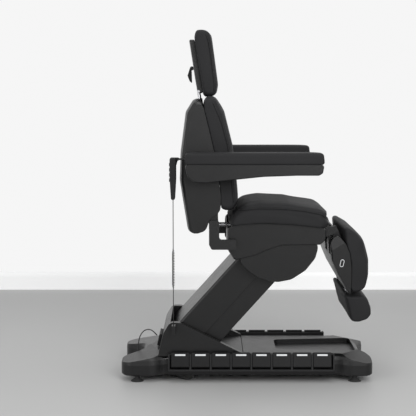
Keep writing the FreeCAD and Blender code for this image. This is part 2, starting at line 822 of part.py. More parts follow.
def make_lift_actuator():
    direction = V(arm_dir[0], 0, arm_dir[1])
    start = arm_point(lift_tube_start, lift_crank, 0)
    body = motor_tube(start, direction, lift_tube_length, lift_tube_radius, True, V(0, 1, 0))
    tail = arm_point(lift_tube_start - lift_pin_back, lift_crank, 0)
    body = body.fuse(rod(tail, start + direction * rod_radius, clevis_length / 3))
    body = body.fuse(bar(tail.x, tail.z, clevis_length / 2, -clevis_length / 2, clevis_length / 2))
    return body.cut(bar(tail.x, tail.z, clevis_radius + running_gap, -clevis_length, clevis_length))


def make_lift_rod():
    start = arm_point(lift_tube_start + lift_tube_length / 2, lift_crank, 0)
    end = arm_point(arm_length, lift_crank, 0)
    return eye_rod(start, end, eye_radius, eye_half, crank_pin_radius + link_gap)


def make_carrier_frame():
    front = (top_x + carrier_front_dx, top_z + carrier_front_dz)
    rim = carrier_rim
    outline = [(tilt_x - rim, tilt_z + rim), (tilt_x - rim, tilt_z - tilt_crank - rim / 2),
               (tilt_x + rim, tilt_z - tilt_crank - rim / 2), (top_x - rim, top_z - 2 * rim),
               (front[0], front[1] - rim), (front[0] + rim, front[1]), (front[0] + rim, front[1] + rim),
               (top_x + rim, top_z + rim)]
    frame = pair(outline, rim / 2, carrier_outer - carrier_thickness, carrier_outer)
    reach = belly_half - belly_wall - seat_gap
    frame = frame.fuse(bar(front[0], front[1], carrier_tube_radius, -reach, reach))
    x, z = on_arm(arm_length, lift_crank)
    tip = 2 * crank_pin_radius
    lug = [(x - tip, z + tip), (x - tip, z - tip), (front[0], front[1] - carrier_tube_radius),
           (front[0] + carrier_tube_radius, front[1]), (front[0], front[1] + carrier_tube_radius),
           (top_link[0], top_link[1] + 2 * link_shaft_radius)]
    frame = frame.fuse(pair(lug, tip / 2, lift_lug_inner, lift_lug_inner + frame_thickness))
    frame = frame.fuse(bar(x, z, crank_pin_radius, -lift_lug_inner - frame_thickness,
                           lift_lug_inner + frame_thickness))
    frame = frame.fuse(both(bar(tilt_x, tilt_z, tilt_pin_radius, carrier_outer - carrier_thickness,
                                frame_outer)))
    frame = frame.fuse(bar(tilt_x, tilt_z - tilt_crank, crank_pin_radius, carrier_outer - carrier_thickness,
                           tilt_tube_y + eye_half))
    frame = frame.cut(both(bar(top_x, top_z, arm_shaft_radius + running_gap, arm_half,
                               carrier_outer + overrun)))
    return frame.cut(bar(top_link[0], top_link[1], link_shaft_radius + running_gap, -carrier_outer * 2,
                         carrier_outer * 2))


def make_belly_cover():
    points = spread(belly_shares, top_x + belly_dx, top_z + belly_dz, belly_length, belly_height)
    depths = [belly_wall] * len(points)
    depths = [0.0] + depths[1:-1] + [0.0]
    shell = crossed(points, belly_radius, belly_half, depths)
    hollow = inset(points, [belly_wall if i not in (0, len(points) - 1) else -overrun
                            for i in range(len(points))])
    shell = shell.cut(crossed(hollow, belly_radius, belly_half - belly_wall, depths))
    slot = block(points[0][0] - overrun, points[0][0] + belly_slot_share * belly_length, -slot_half, slot_half,
                 points[5][1] - overrun, points[-1][1] + overrun)
    rear = block(points[0][0] - overrun, points[0][0] + belly_wall + overrun / 2, belly_wall - belly_half,
                 belly_half - belly_wall, points[5][1], points[-1][1] + overrun)
    return shell.cut(slot).cut(rear)


def seat_line(gap):
    return [(x, z + gap) for x, z in spread(seat_line_shares, top_x + seat_dx, top_z + seat_dz, seat_length,
                                            seat_height)]


def make_seat_cushion():
    points = seat_line(0) + spread(seat_top_shares, top_x + seat_dx, top_z + seat_dz, seat_length, seat_height)
    flat = len(seat_line_shares) - 1
    depths = [0.0] * flat + [seat_crown] * (len(points) - flat)
    return crossed(points, seat_corner, seat_half, depths)


def make_seat_shell():
    low = spread(shell_low_shares, top_x + shell_dx, top_z + shell_dz, shell_length, shell_height)
    top = [(x, z) for x, z in reversed(seat_line(-seat_gap))]
    points = low + top
    open_top = range(len(low), len(points) - 1)
    open_low = range(1, len(low) - 2)
    depths = [shell_draw if i not in open_top else 0.0 for i in range(len(points))]
    shell = crossed(points, shell_corner, shell_half, depths)
    hollow = inset(points,
                   [-overrun if i in open_top or i in open_low else belly_wall for i in range(len(points))])
    shell = shell.cut(crossed(hollow, shell_corner, shell_half - belly_wall, depths))
    rear_x = low[0][0] - overrun
    shell = shell.cut(block(rear_x, top_x, -slot_half, slot_half, low[1][1] - overrun, top_z + frame_top_dz))
    front_x = top_x + frame_front_dx
    lug = frame_thickness + overrun
    shell = shell.cut(both(block(front_x, leg_x, frame_outer - frame_thickness - lug / 2,
                                 frame_outer + lug / 2, leg_z - 2 * carrier_rim, leg_z + carrier_rim)))
    shell = shell.cut(block(front_x, leg_x, leg_tube_y - motor_half - eye_radius,
                            leg_tube_y + motor_half + eye_radius,
                            leg_z - 2 * carrier_rim, leg_z + carrier_rim))
    stub = bar(top_x + stub_dx, top_z + stub_dz, stub_radius + seat_gap, frame_outer, bracket_inner)
    return shell.cut(both(stub))


def make_seat_frame():
    inner = frame_outer - frame_thickness
    low, high = top_z + frame_low_dz, top_z + frame_top_dz
    rim = carrier_rim
    hinge = leg_shaft_radius + frame_thickness
    rail = [(top_x + frame_rear_dx, high), (top_x + frame_rear_dx, top_z + stub_dz - stub_radius),
            (top_x + stub_dx + stub_radius, top_z + stub_dz - stub_radius), (tilt_x - rim, tilt_z - rim / 2),
            (tilt_x, tilt_z - rim), (tilt_x + rim, tilt_z - rim / 2), (tilt_x + 2 * rim, low),
            (top_x + frame_front_dx, low), (leg_x + hinge / 2, leg_z - hinge), (leg_x + hinge, leg_z),
            (leg_x, leg_z + hinge), (top_x + frame_front_dx, high)]
    frame = pair(rail, hinge / 2, inner, frame_outer)
    for dx, dz in ((frame_cross_front_dx, frame_cross_front_dz), (frame_cross_rear_dx, frame_cross_rear_dz)):
        frame = frame.fuse(bar(top_x + dx, top_z + dz, frame_cross_radius, -frame_outer, frame_outer))
    stub = bar(top_x + stub_dx, top_z + stub_dz, stub_radius, inner, bracket_inner + bracket_thickness)
    frame = frame.fuse(both(stub))
    limb = bracket_limb
    hook = [(recline_x - limb, recline_z + limb), (recline_x - limb, top_z + stub_dz),
            (recline_x - limb / 2, top_z + stub_dz - limb), (top_x + stub_dx + limb, top_z + stub_dz - limb),
            (top_x + stub_dx + limb, top_z + stub_dz + limb), (recline_x + limb, top_z + stub_dz + limb),
            (recline_x + limb, recline_z + limb)]
    frame = frame.fuse(pair(hook, limb / 2, bracket_inner, bracket_inner + bracket_thickness))
    hanger = [(tilt_x + tilt_tube_start + tilt_tube_length + clevis_length, low + rim),
              (tilt_x + tilt_tube_start + tilt_tube_length, low + rim),
              (tilt_x + tilt_tube_start + tilt_tube_length, tilt_z - tilt_crank - tilt_tube_radius),
              (tilt_x + tilt_tube_start + tilt_tube_length + clevis_length,
               tilt_z - tilt_crank - tilt_tube_radius)]
    frame = frame.fuse(slab(hanger, frame_thickness / 2, inner, frame_outer))
    frame = frame.fuse(seat_tube_mount(back_tube_y, top_x + back_tube_dx + back_tube_length,
                                       top_z + back_tube_dz))
    frame = frame.fuse(seat_tube_mount(leg_tube_y, top_x + leg_tube_dx - clevis_length, top_z + leg_tube_dz))
    for x, z, radius in ((tilt_x, tilt_z, tilt_pin_radius), (recline_x, recline_z, recline_pin_radius),
                         (leg_x, leg_z, leg_shaft_radius)):
        frame = frame.cut(bar(x, z, radius + running_gap, -bracket_inner * 2, bracket_inner * 2))
    return frame


def seat_tube_mount(y, x, z):
    """Cross bar with a cheek that holds the closed end of a horizontal actuator."""
    ends = sorted((y - math.copysign(tube_radius, y), math.copysign(frame_outer, y)))
    cross = block(x, x + clevis_length, ends[0], ends[1], z - frame_thickness, z + frame_thickness)
    cheek = block(x, x + clevis_length, y - tube_radius, y + tube_radius, z - tube_radius, z + tube_radius)
    return cross.fuse(cheek)


def make_tilt_actuator():
    start = V(tilt_x + tilt_tube_start + tilt_tube_length - seat_gap, tilt_tube_y, tilt_z - tilt_crank)
    return motor_tube(start, V(-1, 0, 0), tilt_tube_length - seat_gap, tilt_tube_radius, False, V(0, 1, 0))


def make_tilt_rod():
    start = V(tilt_x + tilt_tube_start + tilt_tube_length / 2, tilt_tube_y, tilt_z - tilt_crank)
    end = V(tilt_x, tilt_tube_y, tilt_z - tilt_crank)
    return eye_rod(start, end, crank_pin_radius + frame_thickness, eye_half, crank_pin_radius + link_gap)


def make_back_actuator():
    start = V(top_x + back_tube_dx + back_tube_length - seat_gap, back_tube_y, top_z + back_tube_dz)
    return motor_tube(start, V(-1, 0, 0), back_tube_length - seat_gap, tube_radius, True, V(0, 1, 0))


def make_back_rod():
    start = V(top_x + back_tube_dx + back_tube_length / 2, back_tube_y, top_z + back_tube_dz)
    end = V(recline_x, back_tube_y, top_z + back_tube_dz)
    return eye_rod(start, end, crank_pin_radius + frame_thickness / 2, eye_half, crank_pin_radius)


def make_leg_actuator():
    start = V(top_x + leg_tube_dx + seat_gap, leg_tube_y, top_z + leg_tube_dz)
    return motor_tube(start, V(1, 0, 0), leg_tube_length - seat_gap, tube_radius, True, V(0, -1, 0))


def make_leg_rod():
    start = V(top_x + leg_tube_dx + leg_tube_length / 2, leg_tube_y, top_z + leg_tube_dz)
    end = V(leg_x - leg_crank / 2, leg_tube_y, top_z + leg_tube_dz)
    return eye_rod(start, end, crank_pin_radius + frame_thickness / 2, eye_half, crank_pin_radius)


def back_points(shares, gap=0.0):
    return [(x + gap, z) for x, z in spread(shares, back_x, back_z, back_depth, back_height)]


def make_back_cushion():
    points = back_points(back_seam_shares, seam_gap) + back_points(back_front_shares)
    flat = len(back_seam_shares) - 1
    depths = [0.0] * flat + [back_crown] * (len(points) - flat)
    return crossed(points, back_corner, back_half, depths)


def make_back_shell():
    seam = back_points(back_seam_shares)
    points = seam + back_points(back_rear_shares)
    open_front = range(len(seam) - 1)
    open_low = range(len(seam) - 1, len(seam) + 2)
    depths = [0.0 if i in open_front or i in open_low else back_draw for i in range(len(points))]
    shell = crossed(points, back_corner, back_half, depths)
    hollow_depths = [-overrun if i in open_front or i in open_low else back_wall for i in range(len(points))]
    hollow = inset(points, hollow_depths)
    shell = shell.cut(crossed(hollow, back_corner, back_half - back_wall,
                              [0.0 if i in open_front or i in open_low else back_draw
                               for i in range(len(points))]))
    low = back_z + back_notch_share * back_height
    shell = shell.cut(block(back_x - overrun, back_x + back_depth, -back_notch_half, back_notch_half,
                            back_z - overrun, low))
    pin_x, pin_z = arm_pin_place()
    shell = shell.cut(both(bar(pin_x, pin_z, arm_pin_radius + seat_gap, back_rail_outer, armrest_inner)))
    shell = shell.cut(both(rod(head_rod_end(socket_length), head_rod_end(-guide_top_drop),
                               head_rod_radius + socket_wall + seat_gap)))
    return shell.fuse(hook_wire(shell))


def arm_pin_place():
    return (back_x + arm_pin_shares[0] * back_depth, back_z + arm_pin_shares[1] * back_height)


def hook_place():
    """Bar that the handset hangs on, behind the back shell."""
    return (back_x - hook_stand, back_z + hook_share * back_height)


def hook_wire(shell):
    x, z = hook_place()
    wire = bar(x, z, hook_bar_radius, handset_y - hook_half, handset_y + hook_half)
    for y in (handset_y - hook_half, handset_y + hook_half):
        wire = wire.fuse(rod(V(x, y, z), V(back_x + back_draw + back_wall, y, z), hook_bar_radius))
    return wire.cut(slab(inset(back_points(back_seam_shares) + back_points(back_rear_shares),
                               [back_draw + back_wall] * (len(back_seam_shares) + len(back_rear_shares))),
                         back_corner, -back_half, back_half))


def make_back_frame():
    inner = back_rail_outer - back_rail_thickness
    frame = pair(back_points(back_rail_shares), back_cross_half, inner, back_rail_outer)
    for shares in (back_cross_low_shares, back_cross_high_shares):
        x, z = back_x + shares[0] * back_depth, back_z + shares[1] * back_height
        frame = frame.fuse(block(x - back_cross_half, x + back_cross_half, -inner, inner, z - back_cross_half,
                                 z + back_cross_half))
    frame = frame.fuse(both(bar(recline_x, recline_z, recline_pin_radius, inner,
                                bracket_inner + bracket_thickness)))
    pin_x, pin_z = arm_pin_place()
    frame = frame.fuse(both(bar(pin_x, pin_z, arm_pin_radius, inner, arm_pin_reach)))
    x, z = back_x + back_cross_low_shares[0] * back_depth, back_z + back_cross_low_shares[1] * back_height
    lug = [(x - back_cross_half, z), (recline_x - crank_pin_radius, recline_z - back_crank - crank_pin_radius),
           (recline_x + crank_pin_radius, recline_z - back_crank - crank_pin_radius), (x + back_cross_half, z)]
    side = back_tube_y + eye_half + seat_gap
    frame = frame.fuse(slab(lug, crank_pin_radius / 2, side, side + frame_thickness))
    guide = rod(head_rod_end(socket_length), head_rod_end(0), head_rod_radius + socket_wall)
    frame = frame.fuse(both(guide))
    x, z = back_x + back_cross_high_shares[0] * back_depth, back_z + back_cross_high_shares[1] * back_height
    top = head_rod_end(socket_length / 2)
    frame = frame.fuse(both(block(x - back_cross_half, top.x + head_rod_radius, head_rod_y - head_rod_radius,
                                  head_rod_y + head_rod_radius, z - back_cross_half, z + back_cross_half)))
    return frame.cut(both(rod(head_rod_end(head_rod_length), head_rod_end(-overrun),
                              head_rod_radius + running_gap)))


def head_box():
    return (recline_x + head_dx, recline_z + head_dz)


def head_points(shares, gap=0.0):
    x, z = head_box()
    return [(px + gap, pz) for px, pz in spread(shares, x, z, head_depth, head_height)]


def head_axle():
    return head_points([head_axle_shares])[0]


def head_rod_end(back):
    """Point on the left rod's axis, measured down from the axle."""
    lean = math.radians(head_lean_deg)
    x, z = head_axle()
    drop = back + guide_top_drop
    return V(x + drop * math.sin(lean), head_rod_y, z - drop * math.cos(lean))


def make_headrest_rods():
    x, z = head_axle()
    lean = math.radians(head_lean_deg)
    low = V(x + head_rod_length * math.sin(lean), head_rod_y, z - head_rod_length * math.cos(lean))
    rods = both(rod(low, V(x, head_rod_y, z), head_rod_radius))
    return rods.fuse(bar(x, z, head_axle_radius, -head_axle_half, head_axle_half))


def make_headrest_cushion():
    points = head_points(head_rear_shares, seam_gap) + head_points(head_front_shares)
    flat = len(head_rear_shares)
    depths = [0.0] * (flat - 1) + [head_crown] * (len(points) - flat + 1)
    cushion = crossed(points, head_corner, head_half, depths)
    face = head_points([head_front_shares[2], head_front_shares[3]])
    middle = V((face[0][0] + face[1][0]) / 2, 0, (face[0][1] + face[1][1]) / 2)
    out = V(face[0][1] - face[1][1], 0, face[1][0] - face[0][0])
    out.normalize()
    out = out * math.copysign(1, out.x)
    ball = (dish_length * dish_length / 4 + dish_depth * dish_depth) / (2 * dish_depth)
    return cushion.cut(Part.makeSphere(ball, middle + out * (ball - dish_depth)))


def plate_rear(share):
    """Point on the rear face of the headrest plate at a share of the headrest's height."""
    (x1, z1), (x0, z0) = head_points(head_rear_shares)
    z = head_box()[1] + share * head_height
    x = x0 + (x1 - x0) * (z - z0) / (z1 - z0)
    return (x - plate_thickness_share * head_depth, z)


def make_headrest_plate():
    low, high = plate_rear(plate_low_share), plate_rear(plate_high_share)
    step = plate_thickness_share * head_depth
    points = [low, (low[0] + step, low[1]), (high[0] + step, high[1]), high]
    plate = crossed(points, head_axle_radius, plate_half,
                    [head_axle_radius, 0.0, head_axle_radius, head_axle_radius])
    axle = head_axle()
    notch_top = head_box()[1] + head_notch_share * head_height
    plate = plate.cut(block(low[0] - plate_half, low[0] + plate_half, -head_notch_half, head_notch_half,
                            low[1] - overrun, notch_top))
    plate = plate.cut(bar(axle[0], axle[1], head_axle_radius + running_gap, -plate_half * 2, plate_half * 2))
    hinge = lever_axle()
    lugs = both(bar(hinge[0], hinge[1], lever_axle_radius * 2, lever_half + seat_gap,
                    lever_half + lever_thickness))
    plate = plate.fuse(lugs)
    return plate.fuse(bar(hinge[0], hinge[1], lever_axle_radius, -lever_half - lever_thickness,
                          lever_half + lever_thickness))


def lever_axle():
    x, z = plate_rear(lever_share)
    return (x - lever_stand, z)


def make_headrest_lever():
    x, z = lever_axle()
    wide = lever_axle_radius * 2
    paddle = [(x - wide, z + wide / 2), (x - wide / 2, z + wide), (x - lever_axle_radius / 2, z + wide),
              (x - lever_axle_radius / 2, z - lever_axle_radius), (x, z - lever_reach),
              (x - lever_thickness, z - lever_reach + wide), (x - 2 * lever_thickness, z - lever_reach / 2)]
    lever = slab(paddle, lever_axle_radius / 2, -lever_half, lever_half)
    lever = lever.fuse(bar(x, z, wide - lever_axle_radius / 2, -lever_half, lever_half))
    lever = lever.cut(block(x + lever_axle_radius - seat_gap, x + wide * 2, -lever_half * 2, lever_half * 2,
                            z - wide * 2, z + wide * 2))
    low, high = plate_rear(plate_low_share), plate_rear(plate_high_share)
    step = plate_thickness_share * head_depth
    face = [(low[0] - seam_gap, low[1]), (low[0] + step, low[1]), (high[0] + step, high[1]),
            (high[0] - seam_gap, high[1])]
    lever = lever.cut(slab(face, running_gap, -lever_half * 2, lever_half * 2))
    return lever.cut(bar(x, z, lever_axle_radius + running_gap, -lever_half * 2, lever_half * 2))


def armrest_points(shares, gap=0.0):
    pin_x, pin_z = arm_pin_place()
    return [(x, z + gap) for x, z in spread(shares, pin_x + armrest_dx, pin_z + armrest_dz, armrest_length,
                                            armrest_height)]


def make_armrest():
    points = armrest_points(armrest_low_shares)
    half = armrest_width / 2
    depths = [armrest_draw] * (len(points) - 1) + [0.0]
    body = crossed(points, armrest_corner, half, depths, armrest_inner + half)
    pin_x, pin_z = arm_pin_place()
    return body.cut(bar(pin_x, pin_z, arm_pin_radius + running_gap, armrest_inner - overrun,
                        arm_pin_reach + running_gap))


def make_armrest_pad():
    points = armrest_points(armrest_pad_shares)
    half = armrest_width / 2
    points = [(points[0][0], armrest_top()), points[1], points[2], (points[3][0], armrest_top())]
    return crossed(points, armrest_corner, half, [armrest_draw] * 3 + [0.0], armrest_inner + half)


def armrest_top():
    return armrest_points(armrest_low_shares)[0][1] + seat_gap


def leg_points(shares, gap=0.0):
    return [(x + gap, z) for x, z in spread(shares, leg_x + leg_box_dx, leg_z + leg_box_dz, leg_depth,
                                            leg_height)]


def make_leg_cushion():
    points = leg_points(leg_seam_shares, seam_gap) + leg_points(leg_front_shares)
    flat = len(leg_seam_shares) - 1
    depths = [0.0] * flat + [leg_crown] * (len(points) - flat)
    return crossed(points, leg_corner, leg_half, depths)


def leg_bevel(wall):
    """Wedges that slope the sides of the leg shell inwards above a line across each side."""
    start, end = (V(x, 0, z) for x, z in leg_points(leg_bevel_shares))
    way = end - start
    way.normalize()
    up = V(-way.z, 0, way.x)
    face = leg_half - wall
    top = start + up * leg_bevel_rise
    corners = [start + V(0, face, 0), top + V(0, face - leg_bevel_in, 0), top + V(0, leg_half + overrun, 0),
               start + V(0, leg_half + overrun, 0)]
    corners = [corner - way * leg_depth for corner in corners]
    return both(Part.Face(Part.makePolygon(corners + corners[:1])).extrude(way * (3 * leg_depth)))


def make_leg_shell():
    points = leg_points(leg_seam_shares) + leg_points(leg_rear_shares)
    flat = len(leg_seam_shares)
    open_sides = list(range(flat))
    depths = [0.0 if i in open_sides else leg_draw for i in range(len(points))]
    shell = crossed(points, leg_corner, leg_half, depths).cut(leg_bevel(0))
    hollow = inset(points, [-overrun if i in open_sides else leg_wall for i in range(len(points))])
    shell = shell.cut(crossed(hollow, leg_corner, leg_half - leg_wall, depths).cut(leg_bevel(leg_wall)))
    top = leg_points([(0, 0.72)])[0][1]
    shell = shell.cut(both(block(leg_x - leg_half, leg_x + leg_half, leg_plate_outer - leg_plate_thickness * 2,
                                 frame_outer + frame_thickness, top - leg_plate_length / 4,
                                 leg_z + leg_height)))
    shell = shell.cut(block(leg_x - leg_half, leg_x + leg_half, leg_tube_y - motor_half - eye_radius,
                            leg_tube_y + motor_half + eye_radius, top - leg_plate_length / 4,
                            leg_z + leg_height))
    start, end = foot_rod_points()
    return shell.cut(both(rod(start, end, foot_rod_radius + seat_gap)))


def down_leg(along, out, y):
    """Point measured down the leg rest from its hinge and forward of that line."""
    lean = math.radians(leg_lean_deg)
    return V(leg_x + along * math.sin(lean) + out * math.cos(lean), y,
             leg_z - along * math.cos(lean) + out * math.sin(lean))


def make_leg_frame():
    half = leg_plate_half
    corners = [down_leg(-half, -half, 0), down_leg(leg_plate_length, 0, 0),
               down_leg(leg_plate_length, 3 * half / 2, 0),
               down_leg(leg_spacer_along + half, leg_spacer_out + leg_shaft_radius, 0),
               down_leg(leg_spacer_along - half, leg_spacer_out + leg_shaft_radius, 0),
               down_leg(-half, half, 0)]
    plates = pair([(p.x, p.z) for p in corners], half, leg_plate_outer - leg_plate_thickness, leg_plate_outer)
    frame = plates.fuse(bar(leg_x, leg_z, leg_shaft_radius, -frame_outer, frame_outer))
    spot = down_leg(leg_spacer_along, leg_spacer_out, 0)
    reach = leg_half - leg_wall - seat_gap
    frame = frame.fuse(bar(spot.x, spot.z, leg_shaft_radius, -reach, reach))
    start = V(leg_x + guide_dx, guide_y, leg_z + guide_dz)
    lean = math.radians(leg_lean_deg)
    way = V(math.sin(lean), 0, -math.cos(lean))
    frame = frame.fuse(both(Part.makeCylinder(foot_rod_radius + guide_wall, guide_length,
                                              start + way * guide_start, way)))
    spot = down_leg(leg_plate_length - half, half, 0)
    frame = frame.fuse(both(bar(spot.x, spot.z, leg_shaft_radius, guide_y, leg_plate_outer)))
    lug = [(leg_x - half, leg_z), (leg_x - half, leg_z - leg_crank - half),
           (leg_x + half, leg_z - leg_crank - half), (leg_x + half, leg_z)]
    side = leg_tube_y - eye_half - seat_gap
    frame = frame.fuse(slab(lug, half / 2, side - frame_thickness, side))
    bore = Part.makeCylinder(foot_rod_radius + running_gap, foot_rod_length, start - way * overrun, way)
    return frame.cut(both(bore))


def foot_rod_points():
    lean = math.radians(leg_lean_deg)
    way = V(math.sin(lean), 0, -math.cos(lean))
    start = V(leg_x + guide_dx, guide_y, leg_z + guide_dz) - way * overrun * 2
    return start, start + way * foot_rod_length


def make_foot_rails():
    start, end = foot_rod_points()
    rails = both(rod(start, end, foot_rod_radius))
    return rails.fuse(bar(start.x, start.z, foot_rod_radius, -guide_y, guide_y))


def make_foot_cushion():
    points = spread(foot_shares, leg_x + foot_dx, leg_z + foot_dz, foot_depth, foot_height)
    cushion = crossed(points, foot_corner, foot_half, [foot_crown] * len(points))
    start, end = foot_rod_points()
    way = end - start
    way.normalize()
    return cushion.cut(both(rod(start, end + way * seat_gap, foot_rod_radius + seat_gap)))


# The handset hangs from the hook bar, and its lead drops straight from its lower end
lead_x = hook_place()[0] - handset_lug_radius - handset_thickness / 2
handset_top = hook_place()[1] + handset_lug_radius
handset_low = handset_top - handset_length
lead_low = gland_top


def make_handset_shell():
    front = lead_x + handset_thickness / 2
    rear = lead_x - handset_thickness / 2
    slim = handset_thickness * (1 - handset_foot_share) / 2
    outline = [(front, handset_top), (rear, handset_top), (rear, handset_top - handset_length / 2),
               (rear + slim, handset_low), (front - slim, handset_low),
               (front, handset_top - handset_length / 2)]
    shell = crossed(outline, handset_corner, handset_width / 2, [handset_corner / 3] * len(outline), handset_y)
    x, z = hook_place()
    lug = bar(x, z, handset_lug_radius, handset_y - handset_lug_half, handset_y + handset_lug_half)
    web = slab([(front - handset_corner, z + handset_lug_radius), (x, z + handset_lug_radius),
                (x, z - handset_lug_radius),
                (front - handset_corner, z - hook_tail)], 2 * seat_gap, handset_y - handset_lug_half,
               handset_y + handset_lug_half)
    shell = shell.fuse(lug).fuse(web)
    shell = shell.cut(bar(x, z, hook_bar_radius + running_gap, handset_y - handset_width,
                          handset_y + handset_width))
    return shell.cut(make_keys(running_gap))


def make_keys(gap):
    """Push keys on the rear face, standing out by half their height."""
    keys = []
    rear = lead_x - handset_thickness / 2
    size = key_size + 2 * gap
    for row in range(key_rows):
        for column in range(key_columns):
            y = handset_y + (column - (key_columns - 1) / 2) * key_pitch
            z = handset_top - key_start - row * key_pitch
            depth = key_height + (key_travel if gap else 0)
            key = Part.makeBox(depth, size, size, V(rear - key_height / 2, y - size / 2, z - size / 2))
            edges = [e for e in key.Edges if abs(e.Length - key.BoundBox.XLength) < running_gap / 2]
            keys.append(key.makeFillet(key_size / 4, edges))
    return Part.makeCompound(keys)


def straight_lead(top, bottom):
    return Part.makeCylinder(lead_radius, top - bottom, V(lead_x, handset_y, bottom))


def curl_point(turn):
    """Point of the curl after some turns; the first and last turn leave and join the lead's own line."""
    turns = curl_turns()
    ease = max(0.0, min(1.0, turn / ease_turns, (turns - turn) / ease_turns))
    spread_out = curl_radius * ease * ease * (ease_top - 2 * ease)
    angle = 2 * math.pi * turn
    drop = curl_straight + (curl_length - 2 * curl_straight) * turn / turns
    return V(lead_x + spread_out * math.cos(angle), handset_y + spread_out * math.sin(angle),
             handset_low - lead_drop - drop)


def curl_turns():
    return round((curl_length - 2 * curl_straight) / curl_pitch)


def curl_way(turn):
    way = curl_point(min(turn + slope_step, curl_turns())) - curl_point(max(turn - slope_step, 0))
    way.normalize()
    return way


def arc_from(start, way, end):
    """Arc that leaves start along way and ends at end."""
    chord = end - start
    normal = chord - way * chord.dot(way)
    if normal.Length < slope_step:
        return Part.makeLine(start, end), math.inf
    normal.normalize()
    radius = chord.dot(chord) / (2 * chord.dot(normal))
    centre = start + normal * radius
    middle = (start + end) * 0.5 - centre
    middle.normalize()
    return Part.Arc(start, centre + middle * radius, end).toShape(), radius


def biarc(p0, t0, p1, t1):
    """Two arcs that join two points along their tangents."""
    v = p1 - p0
    t = t0 + t1
    spread_dot = 2 * (1 - t0.dot(t1))
    vt = v.dot(t)
    if spread_dot < slope_step:
        d = v.Length / 4
    else:
        d = (-vt + math.sqrt(vt * vt + spread_dot * v.dot(v))) / spread_dot
    joint = (p0 + t0 * d + p1 - t1 * d) * 0.5
    first, r1 = arc_from(p0, t0, joint)
    second, r2 = arc_from(p1, t1 * -1, joint)
    return first, second, min(r1, r2)


def make_curl():
    turns = curl_turns()
    top = curl_point(0) + V(0, 0, curl_straight)
    bottom = curl_point(turns) - V(0, 0, curl_straight)
    edges = [Part.makeLine(top, curl_point(0))]
    tightest = math.inf
    for step in range(turns * curl_steps):
        here, there = step / curl_steps, (step + 1) / curl_steps
        first, second, radius = biarc(curl_point(here), curl_way(here), curl_point(there), curl_way(there))
        edges += [first, second]
        tightest = min(tightest, radius)
    edges.append(Part.makeLine(curl_point(turns), bottom))
    path = Part.Wire(Part.__sortEdges__(edges))
    ring_wire = Part.Wire(Part.makeCircle(lead_radius, top, V(0, 0, -1)))
    tube = path.makePipeShell([ring_wire], True, False)
    gap = min((curl_point(turns / 2 + k / gap_samples) - curl_point(turns / 2 - 1 + j / gap_samples)).Length
              for k in range(gap_samples) for j in range(-gap_samples // 4 + k, gap_samples // 4 + k)
              ) - 2 * lead_radius
    print("curl: turns", turns, "tightest radius", round(tightest, 2), "least gap to itself", round(gap, 2))
    return tube


def make_pedal_lead():
    """Free lead along its route: straight runs with an arc as large as they allow at each point."""
    points = [V(*p) for p in pedal_lead_route]
    edges = []
    radii = []
    last = points[0]
    for i in range(1, len(points) - 1):
        back = points[i - 1] - points[i]
        ahead = points[i + 1] - points[i]
        reach = lead_reach_share * min(back.Length, ahead.Length)
        back.normalize()
        ahead.normalize()
        half = back.getAngle(ahead) / 2
        radii.append(round(reach * math.tan(half)))
        middle = back + ahead
        middle.normalize()
        start = points[i] + back * reach
        end = points[i] + ahead * reach
        edges.append(Part.makeLine(last, start))
        apex = points[i] + middle * (reach / math.cos(half) - reach * math.tan(half))
        edges.append(Part.Arc(start, apex, end).toShape())
        last = end
    edges.append(Part.makeLine(last, points[-1]))
    path = Part.Wire(edges)
    tube = path.makePipeShell([Part.Wire(Part.makeCircle(pedal_lead_radius, points[0],
                                                         points[1] - points[0]))], True, False)
    print("pedal lead: length", round(path.Length), "radii", radii, "volume ratio",
          round(tube.Volume / (path.Length * math.pi * pedal_lead_radius ** 2), 4))
    return tube


def main():
    os.makedirs("parts", exist_ok=True)
    save(make_base_frame(), "base_frame")
    save(make_base_cover(), "base_cover")
    save(make_levelling_feet(), "levelling_feet")
    save(make_control_box(), "control_box")
    save(make_socket_panel(), "socket_panel")
    save(both(make_pedal_bar()), "pedal_bars")
    for index in range(pedal_count):
        pedal = make_pedal(index)
        save(pedal, "pedal_right_" + str(index + 1))
        save(other(pedal), "pedal_left_" + str(index + 1))
    save(make_pedal_lead(), "pedal_lead")
    save(make_arm_frame(), "arm_frame")
    save(make_arm_cover(), "arm_cover")
    save(make_level_link(), "level_link")
    save(make_lift_actuator(), "lift_actuator")
    save(make_lift_rod(), "lift_rod")
    save(make_carrier_frame(), "carrier_frame")
    save(make_belly_cover(), "belly_cover")
    save(make_seat_frame(), "seat_frame")
    save(make_seat_shell(), "seat_shell")
    save(make_seat_cushion(), "seat_cushion")
    save(make_tilt_actuator(), "tilt_actuator")
    save(make_tilt_rod(), "tilt_rod")
    save(make_back_actuator(), "back_actuator")
    save(make_back_rod(), "back_rod")
    save(make_leg_actuator(), "leg_actuator")
    save(make_leg_rod(), "leg_rod")
    save(make_back_frame(), "back_frame")
    save(make_back_shell(), "back_shell")
    save(make_back_cushion(), "back_cushion")
    save(make_headrest_rods(), "headrest_rods")
    save(make_headrest_plate(), "headrest_plate")
    save(make_headrest_cushion(), "headrest_cushion")
    save(make_headrest_lever(), "headrest_lever")
    armrest = make_armrest()
    save(armrest, "armrest_left")
    save(other(armrest), "armrest_right")
    pad = make_armrest_pad()
    save(pad, "armrest_pad_left")
    save(other(pad), "armrest_pad_right")
    save(make_leg_frame(), "leg_frame")
    save(make_leg_shell(), "leg_shell")
    save(make_leg_cushion(), "leg_cushion")
    save(make_foot_rails(), "foot_rails")
    save(make_foot_cushion(), "foot_cushion")
    save(make_handset_shell(), "handset_shell")
    save(make_keys(0.0), "handset_keys")
    save(straight_lead(handset_low - seat_gap, handset_low - lead_drop), "handset_lead_top")
    save(make_curl(), "handset_curl")
    save(straight_lead(handset_low - lead_drop - curl_length, lead_low), "handset_lead_low")


main()
